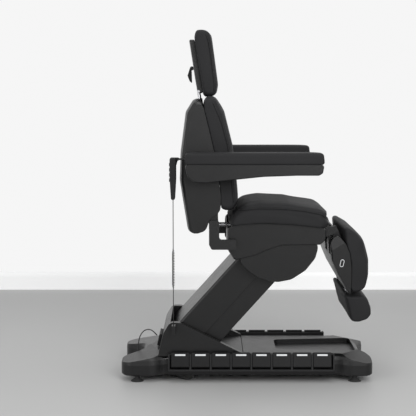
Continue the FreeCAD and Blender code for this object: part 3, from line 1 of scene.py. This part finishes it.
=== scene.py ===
# %% [markdown]
# # A treatment chair, dressed over its CAD frame
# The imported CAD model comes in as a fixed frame. This lesson gives every rigid piece its finish, and
# rebuilds what is soft or thin: cushions, welts, leads and small trim. All lengths are metres, in the frame
# of the CAD: the floor is z = 0, the sitter looks along +X and their right hand is at -Y.

# %% Load the frame
import bpy
import bmesh
import json
import math
import numpy as np
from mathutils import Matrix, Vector
from mathutils.bvhtree import BVHTree


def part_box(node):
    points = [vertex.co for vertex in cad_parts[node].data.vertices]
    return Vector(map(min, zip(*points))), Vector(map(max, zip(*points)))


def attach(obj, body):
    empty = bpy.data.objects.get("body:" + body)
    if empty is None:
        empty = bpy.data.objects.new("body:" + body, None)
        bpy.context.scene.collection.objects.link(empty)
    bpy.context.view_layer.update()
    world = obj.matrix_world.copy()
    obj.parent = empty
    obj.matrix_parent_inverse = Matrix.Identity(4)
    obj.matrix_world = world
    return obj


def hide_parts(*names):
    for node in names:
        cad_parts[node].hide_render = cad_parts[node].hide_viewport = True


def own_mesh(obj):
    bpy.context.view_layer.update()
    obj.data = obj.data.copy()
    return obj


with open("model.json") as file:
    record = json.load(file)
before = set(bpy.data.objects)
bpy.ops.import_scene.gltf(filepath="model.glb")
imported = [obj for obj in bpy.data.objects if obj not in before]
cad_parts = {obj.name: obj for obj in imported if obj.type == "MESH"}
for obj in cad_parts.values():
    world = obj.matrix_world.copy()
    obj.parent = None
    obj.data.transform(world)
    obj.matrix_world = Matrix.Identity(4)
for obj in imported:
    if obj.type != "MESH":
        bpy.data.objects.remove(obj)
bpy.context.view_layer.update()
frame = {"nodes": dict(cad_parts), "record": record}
nodes = frame["nodes"]
scene = bpy.context.scene
scene.view_settings.view_transform = "Standard"

# %% [markdown]
# ## Camera, floor and light
# The picture was taken from the sitter's right, a little above the seat, with a long lens that looks slightly
# down. The floor is a pale sheet that ends behind the chair, at a low white skirting strip. A white backdrop
# could stand on the strip, but it would throw light back at the chair. So there is only the world above it,
# white to the camera, to reflections and through clear pieces, and soft to everything else. Three large soft
# lamps give the plain light of a product studio.

# %% Camera
camera = bpy.data.objects.new("camera", bpy.data.cameras.new("camera"))
scene.collection.objects.link(camera)
camera.data.sensor_width = 36.0
camera.data.lens = 91.8
camera.location = (-0.1717, -4.78, 1.2651)
look_down = 6.186  # degrees below the horizon
camera.rotation_euler = (math.radians(90 - look_down), 0, 0)
camera.data.clip_end = 60
scene.camera = camera
print("camera:", camera.data.lens, "mm, looking down", look_down, "degrees")


# %% Mesh helpers
def surface(name, grid, wrap_u=False, wrap_v=False, cap=False):
    """Mesh of a grid of points with shape (rows, columns, 3): each cell becomes one four-sided face.
    wrap_u joins the last row to the first, wrap_v the last column to the first, cap closes the end rows."""
    rows, columns = grid.shape[:2]
    index = np.arange(rows * columns).reshape(rows, columns)
    if wrap_u:
        index = np.vstack([index, index[:1]])
    if wrap_v:
        index = np.hstack([index, index[:, :1]])
    faces = np.stack([index[:-1, :-1], index[:-1, 1:], index[1:, 1:], index[1:, :-1]], axis=-1).reshape(-1, 4)
    faces = faces.tolist()
    if cap:
        faces += [np.arange(columns)[::-1].tolist(), (np.arange(columns) + (rows - 1) * columns).tolist()]
    mesh = bpy.data.meshes.new(name)
    mesh.from_pydata(grid.reshape(-1, 3).tolist(), [], faces)
    mesh.validate()
    tidy = bmesh.new()
    tidy.from_mesh(mesh)
    bmesh.ops.recalc_face_normals(tidy, faces=tidy.faces)
    tidy.to_mesh(mesh)
    tidy.free()
    mesh.shade_smooth()
    piece = bpy.data.objects.new(name, mesh)
    scene.collection.objects.link(piece)
    return piece


def tube_points(path, radius, sides=8, closed=False):
    """Circle of the given radius carried along a path: at each point two directions square to the path's own
    direction span the circle. They start from a helper direction that doesn't run along the path."""
    if closed:
        along = np.roll(path, -1, axis=0) - np.roll(path, 1, axis=0)
    else:
        along = np.gradient(path, axis=0)
    along /= np.linalg.norm(along, axis=1, keepdims=True)
    helper = np.where(np.abs(along[:, 1:2]) < 0.8, np.array([[0.0, 1.0, 0.0]]), np.array([[1.0, 0.0, 0.0]]))
    first = np.cross(helper, along)
    first /= np.linalg.norm(first, axis=1, keepdims=True)
    second = np.cross(along, first)
    turn = np.linspace(0, 2 * np.pi, sides, endpoint=False)
    circle = np.cos(turn)[None, :, None] * first[:, None, :] + np.sin(turn)[None, :, None] * second[:, None, :]
    return path[:, None, :] + radius * circle


def resample(points, count):
    """Points spread evenly along a polyline, by its length."""
    points = np.asarray(points, float)
    length = np.concatenate([[0], np.cumsum(np.linalg.norm(np.diff(points, axis=0), axis=1))])
    at = np.linspace(0, length[-1], count)
    return np.stack([np.interp(at, length, points[:, k]) for k in range(points.shape[1])], axis=1)


# %% Floor and skirting strip
floor_reach = 9
# The strip's profile from the floor up to its rounded top edge: how far back each point lies, and how high.
strip_profile = np.array([(1.99, 0.0), (1.99, 0.04), (1.99, 0.08), (1.991, 0.108), (1.997, 0.115),
                          (2.004, 0.115)])
back_off, tall = strip_profile.T
wide = np.linspace(-floor_reach, floor_reach, 10)
deep = np.linspace(-floor_reach, back_off[0], 8)
floor_grid = np.stack(np.broadcast_arrays(wide[None, :], deep[:, None], 0.0), axis=-1)
floor = surface("floor_sheet", floor_grid)
skirting_grid = np.stack(np.broadcast_arrays(wide[None, :], back_off[:, None], tall[:, None]), axis=-1)
skirting = surface("skirting_strip", skirting_grid)
print("floor ends at y =", back_off[0])


# %% Lamps and world
def lamp(name, place, aim, size, watts):
    """Round soft lamp that shines from its place at its aim."""
    light = bpy.data.objects.new(name, bpy.data.lights.new(name, "AREA"))
    light.data.shape = "DISK"
    light.data.size = size
    light.data.energy = watts
    light.location = place
    light.rotation_euler = (Vector(aim) - Vector(place)).to_track_quat("-Z", "Y").to_euler()
    scene.collection.objects.link(light)


lamp("key_lamp", (1.4, -3.8, 2.4), (0, 0, 0.7), 2.6, 90)
lamp("fill_lamp", (-3.2, -2.8, 1.8), (0, 0, 0.8), 2.4, 40)
lamp("top_lamp", (0.1, -0.7, 4.2), (0, 0, 0.5), 3.0, 40)
world = bpy.data.worlds.new("studio")
world.use_nodes = True
scene.world = world
sky = world.node_tree
soft = sky.nodes["Background"]
soft.inputs["Color"].default_value = (0.95, 0.96, 0.97, 1)
soft.inputs["Strength"].default_value = 0.45
white = sky.nodes.new("ShaderNodeBackground")
white.inputs["Color"].default_value = (0.92, 0.92, 0.92, 1)
white.inputs["Strength"].default_value = 1.0
rays = sky.nodes.new("ShaderNodeLightPath")
seen = rays.outputs["Is Camera Ray"]
for other_ray in ("Is Glossy Ray", "Is Transmission Ray"):
    either = sky.nodes.new("ShaderNodeMath")
    either.operation = "MAXIMUM"
    sky.links.new(seen, either.inputs[0])
    sky.links.new(rays.outputs[other_ray], either.inputs[1])
    seen = either.outputs[0]
choose = sky.nodes.new("ShaderNodeMixShader")
sky.links.new(seen, choose.inputs[0])
sky.links.new(soft.outputs[0], choose.inputs[1])
sky.links.new(white.outputs[0], choose.inputs[2])
sky.links.new(choose.outputs[0], sky.nodes["World Output"].inputs["Surface"])
print("stage ready")

# %% [markdown]
# ## Finishes
# Nearly everything on this chair is black, so the finishes differ by grain and gloss, not by colour. Two
# effects are shared by all of them: a moulded or pressed grain, and a slow unevenness of the surface. A
# picture of the grain could be wrapped round each piece, but it would repeat and show where it is joined, so
# both are worked out from the place of each point. Each is a node group that puts out only a height or a
# mask, and the shader stays in the material.


# %% Pressed grain
def group(name, inputs, outputs):
    """New shader group whose inputs, with their default values, and outputs are all plain numbers."""
    tree = bpy.data.node_groups.new(name, "ShaderNodeTree")
    for label, value in inputs:
        tree.interface.new_socket(label, in_out="INPUT", socket_type="NodeSocketFloat").default_value = value
    for label in outputs:
        tree.interface.new_socket(label, in_out="OUTPUT", socket_type="NodeSocketFloat")
    return tree, tree.nodes.new("NodeGroupInput"), tree.nodes.new("NodeGroupOutput")


def scaled_by(tree, source, socket, factor):
    """Node that multiplies a socket by a factor."""
    times = tree.nodes.new("ShaderNodeMath")
    times.operation = "MULTIPLY"
    times.inputs[1].default_value = factor
    tree.links.new(source.outputs[socket], times.inputs[0])
    return times


pressed, gin, gout = group("pressed_grain", [("Cells", 420.0)], ["Height"])
where = pressed.nodes.new("ShaderNodeTexCoord")
cells = pressed.nodes.new("ShaderNodeTexVoronoi")
cells.feature = "SMOOTH_F1"
cells.inputs["Smoothness"].default_value = 0.6
fine = pressed.nodes.new("ShaderNodeTexNoise")
fine.inputs["Detail"].default_value = 3
pressed.links.new(where.outputs["Object"], cells.inputs["Vector"])
pressed.links.new(where.outputs["Object"], fine.inputs["Vector"])
pressed.links.new(gin.outputs["Cells"], cells.inputs["Scale"])
pores_per_cell, pore_share = 1.7, 0.35
pressed.links.new(scaled_by(pressed, gin, "Cells", pores_per_cell).outputs[0], fine.inputs["Scale"])
both = pressed.nodes.new("ShaderNodeMath")
both.operation = "MULTIPLY_ADD"
both.inputs[1].default_value = pore_share
pressed.links.new(fine.outputs["Fac"], both.inputs[0])
pressed.links.new(cells.outputs["Distance"], both.inputs[2])
pressed.links.new(both.outputs[0], gout.inputs["Height"])

# %% Slow unevenness
uneven, gin, gout = group("slow_unevenness", [("Size", 6.0), ("Low", 0.3), ("High", 0.7)], ["Mask"])
where = uneven.nodes.new("ShaderNodeTexCoord")
clouds = uneven.nodes.new("ShaderNodeTexNoise")
clouds.inputs["Detail"].default_value = 5
clouds.inputs["Roughness"].default_value = 0.6
spread = uneven.nodes.new("ShaderNodeMapRange")
uneven.links.new(where.outputs["Object"], clouds.inputs["Vector"])
uneven.links.new(gin.outputs["Size"], clouds.inputs["Scale"])
uneven.links.new(clouds.outputs["Fac"], spread.inputs["Value"])
uneven.links.new(gin.outputs["Low"], spread.inputs["To Min"])
uneven.links.new(gin.outputs["High"], spread.inputs["To Max"])
uneven.links.new(spread.outputs[0], gout.inputs["Mask"])
print("shared effects:", len(bpy.data.node_groups))


# %% One finish
def finish_of(name, dark, light, rough, cells, depth, patch=5.0, metallic=0.0, specular=0.5):
    """A finish: colour drifts between two near tones and roughness between two values, over a pressed grain.
    cells is the number of grains in a metre, depth their strength, and patch the colour's drifts in a metre."""
    grain_rise, gloss_drifts = 0.0006, 4  # height of a grain, and drifts of the gloss to one of the colour
    material = bpy.data.materials.new(name)
    material.use_nodes = True
    tree = material.node_tree
    shader = tree.nodes["Principled BSDF"]
    shader.inputs["Metallic"].default_value = metallic
    shader.inputs["Specular IOR Level"].default_value = specular
    drift = tree.nodes.new("ShaderNodeGroup")
    drift.node_tree = uneven
    drift.inputs["Size"].default_value = patch
    drift.inputs["Low"].default_value = 0.0
    drift.inputs["High"].default_value = 1.0
    tone = tree.nodes.new("ShaderNodeMix")
    tone.data_type = "RGBA"  # its colours are then the inputs 6 and 7 and the output 2
    tone.inputs[6].default_value = (*dark, 1)
    tone.inputs[7].default_value = (*light, 1)
    tree.links.new(drift.outputs["Mask"], tone.inputs[0])
    tree.links.new(tone.outputs[2], shader.inputs["Base Color"])
    gloss = tree.nodes.new("ShaderNodeGroup")
    gloss.node_tree = uneven
    gloss.inputs["Size"].default_value = patch * gloss_drifts
    gloss.inputs["Low"].default_value = rough[0]
    gloss.inputs["High"].default_value = rough[1]
    tree.links.new(gloss.outputs["Mask"], shader.inputs["Roughness"])
    grain = tree.nodes.new("ShaderNodeGroup")
    grain.node_tree = pressed
    grain.inputs["Cells"].default_value = cells
    bump = tree.nodes.new("ShaderNodeBump")
    bump.inputs["Strength"].default_value = depth
    bump.inputs["Distance"].default_value = grain_rise
    tree.links.new(grain.outputs["Height"], bump.inputs["Height"])
    tree.links.new(bump.outputs["Normal"], shader.inputs["Normal"])
    return material


# %% All finishes
leatherette = finish_of("black_leatherette", (0.0195, 0.0195, 0.0203), (0.0275, 0.0275, 0.0286),
                        (0.52, 0.64), 620, 0.35, specular=0.09)
welt_leather = finish_of("welt_leatherette", (0.008, 0.008, 0.0084), (0.012, 0.012, 0.0126),
                         (0.46, 0.58), 900, 0.3, specular=0.24)
moulding = finish_of("satin_moulding", (0.0022, 0.0022, 0.0024), (0.0042, 0.0042, 0.0045),
                     (0.30, 0.42), 1500, 0.2, specular=0.42)
fitting = finish_of("grained_fitting", (0.0075, 0.0075, 0.008), (0.0115, 0.0115, 0.012),
                    (0.46, 0.6), 900, 0.4, specular=0.25)
powder = finish_of("powder_coat", (0.005, 0.005, 0.0053), (0.0085, 0.0085, 0.0089),
                   (0.36, 0.48), 1100, 0.5, specular=0.36)
key_black = finish_of("pedal_key_black", (0.0045, 0.0045, 0.0048), (0.0075, 0.0075, 0.0079),
                      (0.38, 0.5), 1300, 0.25, specular=0.17)
bright = finish_of("polished_rod", (0.56, 0.56, 0.58), (0.66, 0.66, 0.68), (0.14, 0.24),
                   2000, 0.05, metallic=1.0)
rubber = finish_of("foot_rubber", (0.016, 0.016, 0.016), (0.026, 0.026, 0.026), (0.62, 0.78), 700, 0.4)
sheath = finish_of("lead_sheath", (0.014, 0.014, 0.014), (0.022, 0.022, 0.022), (0.40, 0.5), 1600, 0.1)
white_inlay = finish_of("white_inlay", (0.66, 0.67, 0.68), (0.74, 0.75, 0.76), (0.3, 0.4), 1500, 0.08)
pale_floor = finish_of("pale_floor", (0.485, 0.485, 0.48), (0.535, 0.535, 0.53), (0.45, 0.6),
                       60, 0.02, patch=0.8)
skirting_white = finish_of("skirting_white", (0.84, 0.84, 0.84), (0.88, 0.88, 0.88), (0.4, 0.5),
                           60, 0.02, patch=0.8)
strip_glow = 0.26  # the lamps hardly reach the strip
skirting_shader = skirting_white.node_tree.nodes["Principled BSDF"]
skirting_shader.inputs["Emission Color"].default_value = (1, 1, 1, 1)
skirting_shader.inputs["Emission Strength"].default_value = strip_glow
floor.data.materials.append(pale_floor)
skirting.data.materials.append(skirting_white)

slots = {"steel": powder, "housing": moulding, "upholstery": leatherette, "fittings": fitting,
         "bright_steel": bright, "keys": key_black, "rubber": rubber, "lead": sheath}
for part in frame["record"]["subparts"]:
    node = nodes[part["node"]]
    node.data.materials.clear()
    node.data.materials.append(slots[part["material_slot"]])
print("finishes:", len(bpy.data.materials))

# %% [markdown]
# ## Leads
# Two leads show. One drops from the handset, curls like a telephone cord in its middle and goes into the base.
# The other leaves the socket panel, hangs over the rear edge, runs under the base and up into the pedal bar.
# Each could be a chain of straight tubes, as in the CAD, but a lead bends evenly. So each is one spline, whose
# control points are the route of its CAD tube. The handset's lead then becomes a mesh, because it has to draw
# together towards its gland as the backrest goes down.


# %% Spline of a lead
def lead_spline(name, route, radius):
    """Circle of the given radius carried along a smooth spline that starts and ends where its route does."""
    curve = bpy.data.curves.new(name, "CURVE")
    curve.dimensions = "3D"
    curve.bevel_depth = radius
    curve.bevel_resolution = 3
    curve.resolution_u = 6
    curve.use_fill_caps = True
    line = curve.splines.new("NURBS")
    line.points.add(len(route) - 1)
    flat = np.hstack([np.asarray(route, float), np.ones((len(route), 1))])
    line.points.foreach_set("co", flat.ravel())
    line.order_u = 3
    line.use_endpoint_u = True
    piece = bpy.data.objects.new(name, curve)
    piece.data.materials.append(sheath)
    scene.collection.objects.link(piece)
    return piece


def bare_line(piece):
    """Points of the spline itself, read from a copy without thickness, with doubled points dropped."""
    copy = piece.copy()
    copy.data = piece.data.copy()
    copy.data.bevel_depth = 0
    mesh = bpy.data.meshes.new_from_object(copy)
    points = np.empty(len(mesh.vertices) * 3)
    mesh.vertices.foreach_get("co", points)
    bpy.data.objects.remove(copy)
    bpy.data.meshes.remove(mesh)
    points = points.reshape(-1, 3)
    return points[np.r_[True, np.linalg.norm(np.diff(points, axis=0), axis=1) > 1e-5]]


# %% Pedal lead
pedal_route = np.array([
    (-404, -30, 166), (-420, -30, 186), (-444, -31, 196), (-468, -32, 186), (-484, -33, 160), (-490, -34, 126),
    (-494, -35, 90), (-494, -37, 56), (-488, -41, 28), (-472, -49, 10), (-440, -60, 4.5), (-390, -84, 3.5),
    (-340, -120, 4.5), (-312, -150, 6), (-288, -176, 4.5), (-262, -196, 6), (-244, -206, 12), (-234, -216, 24),
    (-230, -221, 36.4)]) / 1000
pedal_lead = lead_spline("pedal_lead_sheath", pedal_route, radius=0.0025)
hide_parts("pedal_lead")
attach(pedal_lead, "base")
line = bare_line(pedal_lead)

# %% Route of the handset lead
top_low, top_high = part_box("handset_lead_top")
curl_low, curl_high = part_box("handset_curl")
tail_low, tail_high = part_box("handset_lead_low")
lead_x = (top_low[0] + top_high[0]) / 2
lead_y = (top_low[1] + top_high[1]) / 2
turns, per_turn, mean_radius = 27, 14, 0.0043
opening_turns = 4  # the curls widen over these from the straight lead, and close again
outset = 1.02  # a spline runs a little inside its points
end_gap = 0.004  # from the curl's first and last point to the ends of its CAD piece
t = np.arange(turns * per_turn + 1) / per_turn
ease = np.clip(np.minimum(t, turns - t) / opening_turns, 0, 1)
reach = mean_radius * outset * ease * ease * (3 - 2 * ease)
drop = curl_high[2] - end_gap - (curl_high[2] - curl_low[2] - 2 * end_gap) * t / turns
coil = np.stack([lead_x + reach * np.cos(2 * np.pi * t), lead_y + reach * np.sin(2 * np.pi * t), drop], axis=1)


def plumb_run(high, low, inset):
    """Straight stretch of lead: its two ends, and one point inset from each."""
    return [(lead_x, lead_y, z) for z in (high, high - inset, low + inset, low)]


start = plumb_run(top_high[2], top_low[2], inset=0.06)
tail = plumb_run(tail_high[2], tail_low[2], inset=0.05)
print("handset lead:", turns, "curls")

# %% Handset lead
curl_spline = lead_spline("handset_lead_line", np.vstack([start, coil, tail]), radius=0.0018)
curl_spline.data.resolution_u = 2
line = bare_line(curl_spline)
tube = bmesh.new()
tube.from_mesh(bpy.data.meshes.new_from_object(curl_spline))
bmesh.ops.remove_doubles(tube, verts=tube.verts, dist=1e-6)
bmesh.ops.recalc_face_normals(tube, faces=tube.faces)
tube_mesh = bpy.data.meshes.new("handset_lead_sheath")
tube.to_mesh(tube_mesh)
tube.free()
tube_mesh.shade_smooth()
bpy.data.objects.remove(curl_spline)
handset_lead = bpy.data.objects.new("handset_lead_sheath", tube_mesh)
handset_lead.data.materials.append(sheath)
scene.collection.objects.link(handset_lead)
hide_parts("handset_lead_top", "handset_curl", "handset_lead_low")
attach(handset_lead, "handset")
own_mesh(handset_lead)

# %% [markdown]
# ## Cushions
# The upholstery is foam under stretched leatherette: full faces, edges drawn in by the seams, and a welt
# where two panels meet. A cushion could be sculpted by hand, but then it might not fit its shell. So each
# starts as a copy of its CAD solid, is remeshed into small even faces, settled where the foam is sat in, and
# blown up a little by the cloth solver while the side that lies on its shell is held. The solver's moves are
# evened out, because this cover is taut and shows no creases. Then the seam lines are pressed in at both
# sides, and a thin welt is laid into each.


# %% Small even faces
def points_of(mesh):
    """Places of all vertices, one row each."""
    flat = np.empty(len(mesh.vertices) * 3)
    mesh.vertices.foreach_get("co", flat)
    return flat.reshape(-1, 3)


def normals_of(mesh):
    """Outward directions at all vertices, one row each."""
    flat = np.empty(len(mesh.vertices) * 3)
    mesh.vertex_normals.foreach_get("vector", flat)
    return flat.reshape(-1, 3)


def remeshed(node, voxel):
    """Copy of a CAD node's mesh with its doubles merged, made of even faces one voxel wide."""
    merged = bmesh.new()
    merged.from_mesh(nodes[node].data)
    bmesh.ops.remove_doubles(merged, verts=merged.verts, dist=1e-5)
    mesh = bpy.data.meshes.new(node + "_soft")
    merged.to_mesh(mesh)
    merged.free()
    piece = bpy.data.objects.new(node + "_soft", mesh)
    scene.collection.objects.link(piece)
    remesh = piece.modifiers.new("even", "REMESH")
    remesh.mode = "VOXEL"
    remesh.voxel_size = voxel
    smooth = piece.modifiers.new("ease", "SMOOTH")
    smooth.iterations = 4
    even = bpy.data.meshes.new_from_object(piece.evaluated_get(bpy.context.evaluated_depsgraph_get()))
    piece.modifiers.clear()
    piece.data = even
    even.name = node + "_soft"
    return piece


# %% Blow up a cushion
def evened(mesh, move, rounds, pull=0.6):
    """Every point's move drawn towards that of its neighbours, so that the cover stays taut and smooth: in each
    round a move gives up the share pull of itself and takes as much of the neighbours' mean."""
    pairs = np.empty(len(mesh.edges) * 2, np.int32)
    mesh.edges.foreach_get("vertices", pairs)
    here, there = np.concatenate([pairs[0::2], pairs[1::2]]), np.concatenate([pairs[1::2], pairs[0::2]])
    count = np.maximum(np.bincount(here, minlength=len(move)), 1)
    for _ in range(rounds):
        around = [np.bincount(here, move[there, axis], len(move)) / count for axis in range(3)]
        move = (1 - pull) * move + pull * np.stack(around, axis=1)
    return move


def blown(piece, held, cap, pressure=4.0, frames=20, rounds=60):
    """Cloth under inner pressure for some frames, its moves evened in some rounds. held is 1 where a point
    stays, and no point moves by more than the cap. Returns the largest move before the cap."""
    before = points_of(piece.data)
    group_held = piece.vertex_groups.new(name="held")
    for weight in (0.35, 1.0):
        group_held.add(np.flatnonzero(held >= weight).tolist(), weight, "REPLACE")
    cloth = piece.modifiers.new("cloth", "CLOTH")
    cloth.settings.vertex_group_mass = "held"
    cloth.settings.use_pressure = True
    cloth.settings.uniform_pressure_force = pressure
    cloth.settings.tension_stiffness = 18
    cloth.settings.compression_stiffness = 18
    cloth.settings.bending_stiffness = 3
    cloth.settings.quality = 4
    cloth.settings.effector_weights.gravity = 0
    cloth.collision_settings.use_collision = False
    for frame_number in range(1, frames + 1):
        scene.frame_set(frame_number)
    after = points_of(piece.evaluated_get(bpy.context.evaluated_depsgraph_get()).data)
    piece.modifiers.clear()
    scene.frame_set(1)
    move = evened(piece.data, after - before, rounds)
    size = np.linalg.norm(move, axis=1, keepdims=True)
    limit = cap * (1 - held[:, None])
    move *= np.tanh(size / np.maximum(limit, 1e-9)) * limit / np.maximum(size, 1e-9)
    piece.data.vertices.foreach_set("co", (before + move).ravel())
    piece.data.update()
    return float(size.max())


# %% Press in a seam and lay a welt
def press_seams(piece, paths, width, depth):
    """Every point near a seam path moves in along its normal, by a bell curve of its distance from the path."""
    chunk = 40  # points of a path that are measured at a time, to save memory
    points, normals = points_of(piece.data), normals_of(piece.data)
    for path in paths:
        near = np.full(len(points), np.inf)
        for some in np.array_split(path, max(1, len(path) // chunk)):
            gap = np.linalg.norm(points[:, None, :] - some[None, :, :], axis=2).min(axis=1)
            near = np.minimum(near, gap)
        points -= normals * (depth * np.exp(-(near / width) ** 2))[:, None]
    piece.data.vertices.foreach_set("co", points.ravel())
    piece.data.update()


def side_path(piece, outline, side, count):
    """Side-view line laid on a cushion: rays shot in from one side find where the cover is."""
    outside = 0.6  # from the middle plane, clear of every piece
    tree = BVHTree.FromObject(piece, bpy.context.evaluated_depsgraph_get())
    found = []
    for x, z in resample(outline, count):
        hit = tree.ray_cast(Vector((x, side * outside, z)), Vector((0, -side, 0)))
        if hit[0] is not None:
            found.append(tuple(hit[0]))
    return np.array(found)


def welt(name, path, body, radius=0.0016):
    """Thin round piping along a path, spread evenly over at least 40 points."""
    piping = resample(path, max(40, len(path)))
    piece = surface(name, tube_points(piping, radius), wrap_v=True, cap=True)
    piece.data.materials.append(welt_leather)
    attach(piece, body)


# %% Settled foam
def eased(values, start, end):
    """Smooth step from 0 at start to 1 at end."""
    share = np.clip((values - start) / (end - start), 0, 1)
    return share * share * (3 - 2 * share)


def sunk_crown(points):
    """Moves of the seat's points: the crown is lower at the back, by a rise read along the seat and averaged
    over 40 mm, and the front edge stands further forward above its seam."""
    along = (-0.06, 0.0, 0.08, 0.15, 0.2, 0.25, 0.29, 0.33, 0.35)
    rise = (-0.014, -0.019, -0.019, -0.017, -0.015, -0.012, -0.009, -0.003, 0.001)
    near = np.linspace(-0.02, 0.02, 5)
    front_reach = 0.020
    sink = np.mean([np.interp(points[:, 0] + step, along, rise) for step in near], axis=0)
    forward = front_reach * eased(points[:, 0], 0.20, 0.34) * eased(points[:, 2], 0.730, 0.756)
    return np.stack([forward, np.zeros(len(points)), eased(points[:, 2], 0.735, 0.795) * sink], axis=1)


def long_chin(points):
    """Moves of the headrest's points: its lower edge hangs down a little towards the back."""
    return np.outer(eased(points[:, 2], 1.30, 1.262), (0, 0, -0.005))


def tall_top(points):
    """Moves of the back cushion's points: its upper edge stands up a little towards the headrest."""
    return np.outer(eased(points[:, 2], 1.19, 1.235), (0, 0, 0.004))


# %% Cushions
def cushion(node, body, held_way, cap, voxel=0.005, settle=None):
    """Soft piece for a CAD node; held_way is the direction of the face that lies on its support, cap the most
    that the cloth moves a point, and settle gives the moves of all points where the foam has settled."""
    piece = remeshed(node, voxel)
    if settle is not None:
        points = points_of(piece.data)
        points += settle(points)
        piece.data.vertices.foreach_set("co", points.ravel())
        piece.data.update()
    facing = normals_of(piece.data) @ np.asarray(held_way, float)
    free_below, held_above = 0.25, 0.6  # cosines of the angle to that direction
    held = np.clip((facing - free_below) / (held_above - free_below), 0, 1)
    grown = 0.0
    grown = blown(piece, held, cap)
    piece.data.materials.clear()
    piece.data.materials.append(leatherette)
    piece.data.shade_smooth()
    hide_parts(node)
    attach(piece, body)
    print(node, len(piece.data.polygons), "faces, pushed by the cloth up to", round(grown * 1000, 1), "mm")
    return piece


seat_soft = cushion("seat_cushion", "seat", (0, 0, -1), 0.004, settle=sunk_crown)
back_soft = cushion("back_cushion", "backrest", (-0.97, 0, 0.23), 0.004, settle=tall_top)
head_soft = cushion("headrest_cushion", "headrest", (-0.99, 0, 0.15), 0.004, settle=long_chin)
cushion("leg_cushion", "leg_rest", (-0.95, 0, -0.3), 0.005)
cushion("foot_cushion", "footrest", (-0.5, 0, 0.85), 0.004)
for side in ("left", "right"):
    cushion("armrest_pad_" + side, "armrest_" + side, (0, 0, -1), 0.004, voxel=0.004)

# %% Seams and welts
seam_width, seam_depth, points_on_seam = 0.006, 0.0022, 90
# Each seam as (x, z) points of the side view.
seams = {
    "seat": (seat_soft, "seat",
             [(-0.072, 0.745), (-0.044, 0.763), (0.04, 0.773), (0.138, 0.772), (0.236, 0.763), (0.315, 0.747),
              (0.338, 0.728)]),
    "back": (back_soft, "backrest",
             [(-0.150, 1.225), (-0.110, 1.129), (-0.086, 1.04), (-0.069, 0.891), (-0.061, 0.80)]),
    "head": (head_soft, "headrest",
             [(-0.180, 1.518), (-0.168, 1.48), (-0.158, 1.425), (-0.150, 1.359), (-0.143, 1.298),
              (-0.144, 1.272)]),
}
for label, (piece, body, outline) in seams.items():
    paths = [side_path(piece, np.array(outline), side, points_on_seam) for side in (-1, 1)]
    press_seams(piece, paths, seam_width, seam_depth)
    for side, path in zip(("right", "left"), paths):
        welt("%s_welt_%s" % (label, side), path, body)
print("welts:", 2 * len(seams))

# %% [markdown]
# ## Small trim
# Each pedal carries a pale bar let into its top edge, and a plain oblong ring is set into both sides of the leg
# rest's shell. They could be painted on by a mask in the material, but a mask blurs at such small sizes. They
# are thin meshes instead, laid on the surface of the piece that carries them.


# %% Pedal bars
def rounded_plate(name, centre, across, along, normal, width, height, corner, thickness):
    """Plate with round corners: an outline of four quarter circles pushed apart, which rises in steps of (share
    of the outline, share of the thickness) to a low dome."""
    turn = np.linspace(0, 2 * np.pi, 48, endpoint=False)
    flat_u = np.sign(np.cos(turn)) * (width / 2 - corner) + corner * np.cos(turn)
    flat_v = np.sign(np.sin(turn)) * (height / 2 - corner) + corner * np.sin(turn)
    steps = np.array([(1.0, 0.0), (1.0, 0.55), (0.93, 0.9), (0.6, 1.0), (0.02, 1.0)])
    grid = (np.asarray(centre)[None, None, :]
            + (steps[:, :1] * flat_u[None, :])[..., None] * np.asarray(across)[None, None, :]
            + (steps[:, :1] * flat_v[None, :])[..., None] * np.asarray(along)[None, None, :]
            + (steps[:, 1:] * thickness)[..., None] * np.asarray(normal)[None, None, :])
    return surface(name, grid, wrap_v=True, cap=True)


sides = (("right", -1), ("left", 1))
pedals = range(1, 9)
bar_out, bar_up = 0.2309, 0.124  # the bar's middle on the sloping face of a pedal
face_out, face_up = 0.963, 0.271  # the direction that this face looks in
for number in pedals:
    for side, sign in sides:
        low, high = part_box("pedal_%s_%d" % (side, number))
        bar = rounded_plate("pedal_bar_%s_%d" % (side, number),
                            centre=((low[0] + high[0]) / 2, sign * bar_out, bar_up), across=(1, 0, 0),
                            along=(0, -sign * face_up, face_out), normal=(0, sign * face_out, face_up),
                            width=0.046, height=0.0075, corner=0.0018, thickness=0.0008)
        bar.data.materials.append(white_inlay)
        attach(bar, "pedal_%s_%d" % (side, number))
print("pedal bars:", len(pedals) * len(sides))

# %% Leg rings
# The ring is four quarter circles pushed apart, turned to lie along the leg rest.
ring_x0, ring_z0, ring_out = 0.4075, 0.534, 0.2505
ring_corner, apart_u, apart_v, wire = 0.0062, 0.0008, 0.009, 0.0015
tilt = math.radians(12)
turn = np.linspace(0, 2 * np.pi, 60, endpoint=False)
u = np.sign(np.cos(turn)) * apart_u + ring_corner * np.cos(turn)
v = np.sign(np.sin(turn)) * apart_v + ring_corner * np.sin(turn)
ring_x = ring_x0 + u * math.cos(tilt) + v * math.sin(tilt)
ring_z = ring_z0 - u * math.sin(tilt) + v * math.cos(tilt)
for side, sign in sides:
    ring_path = np.stack([ring_x, np.full_like(ring_x, sign * ring_out), ring_z], axis=1)
    ring = surface("leg_ring_" + side, tube_points(ring_path, wire, closed=True), wrap_u=True, wrap_v=True)
    ring.data.materials.append(white_inlay)
    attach(ring, "leg_rest")
print("leg rings:", len(sides))
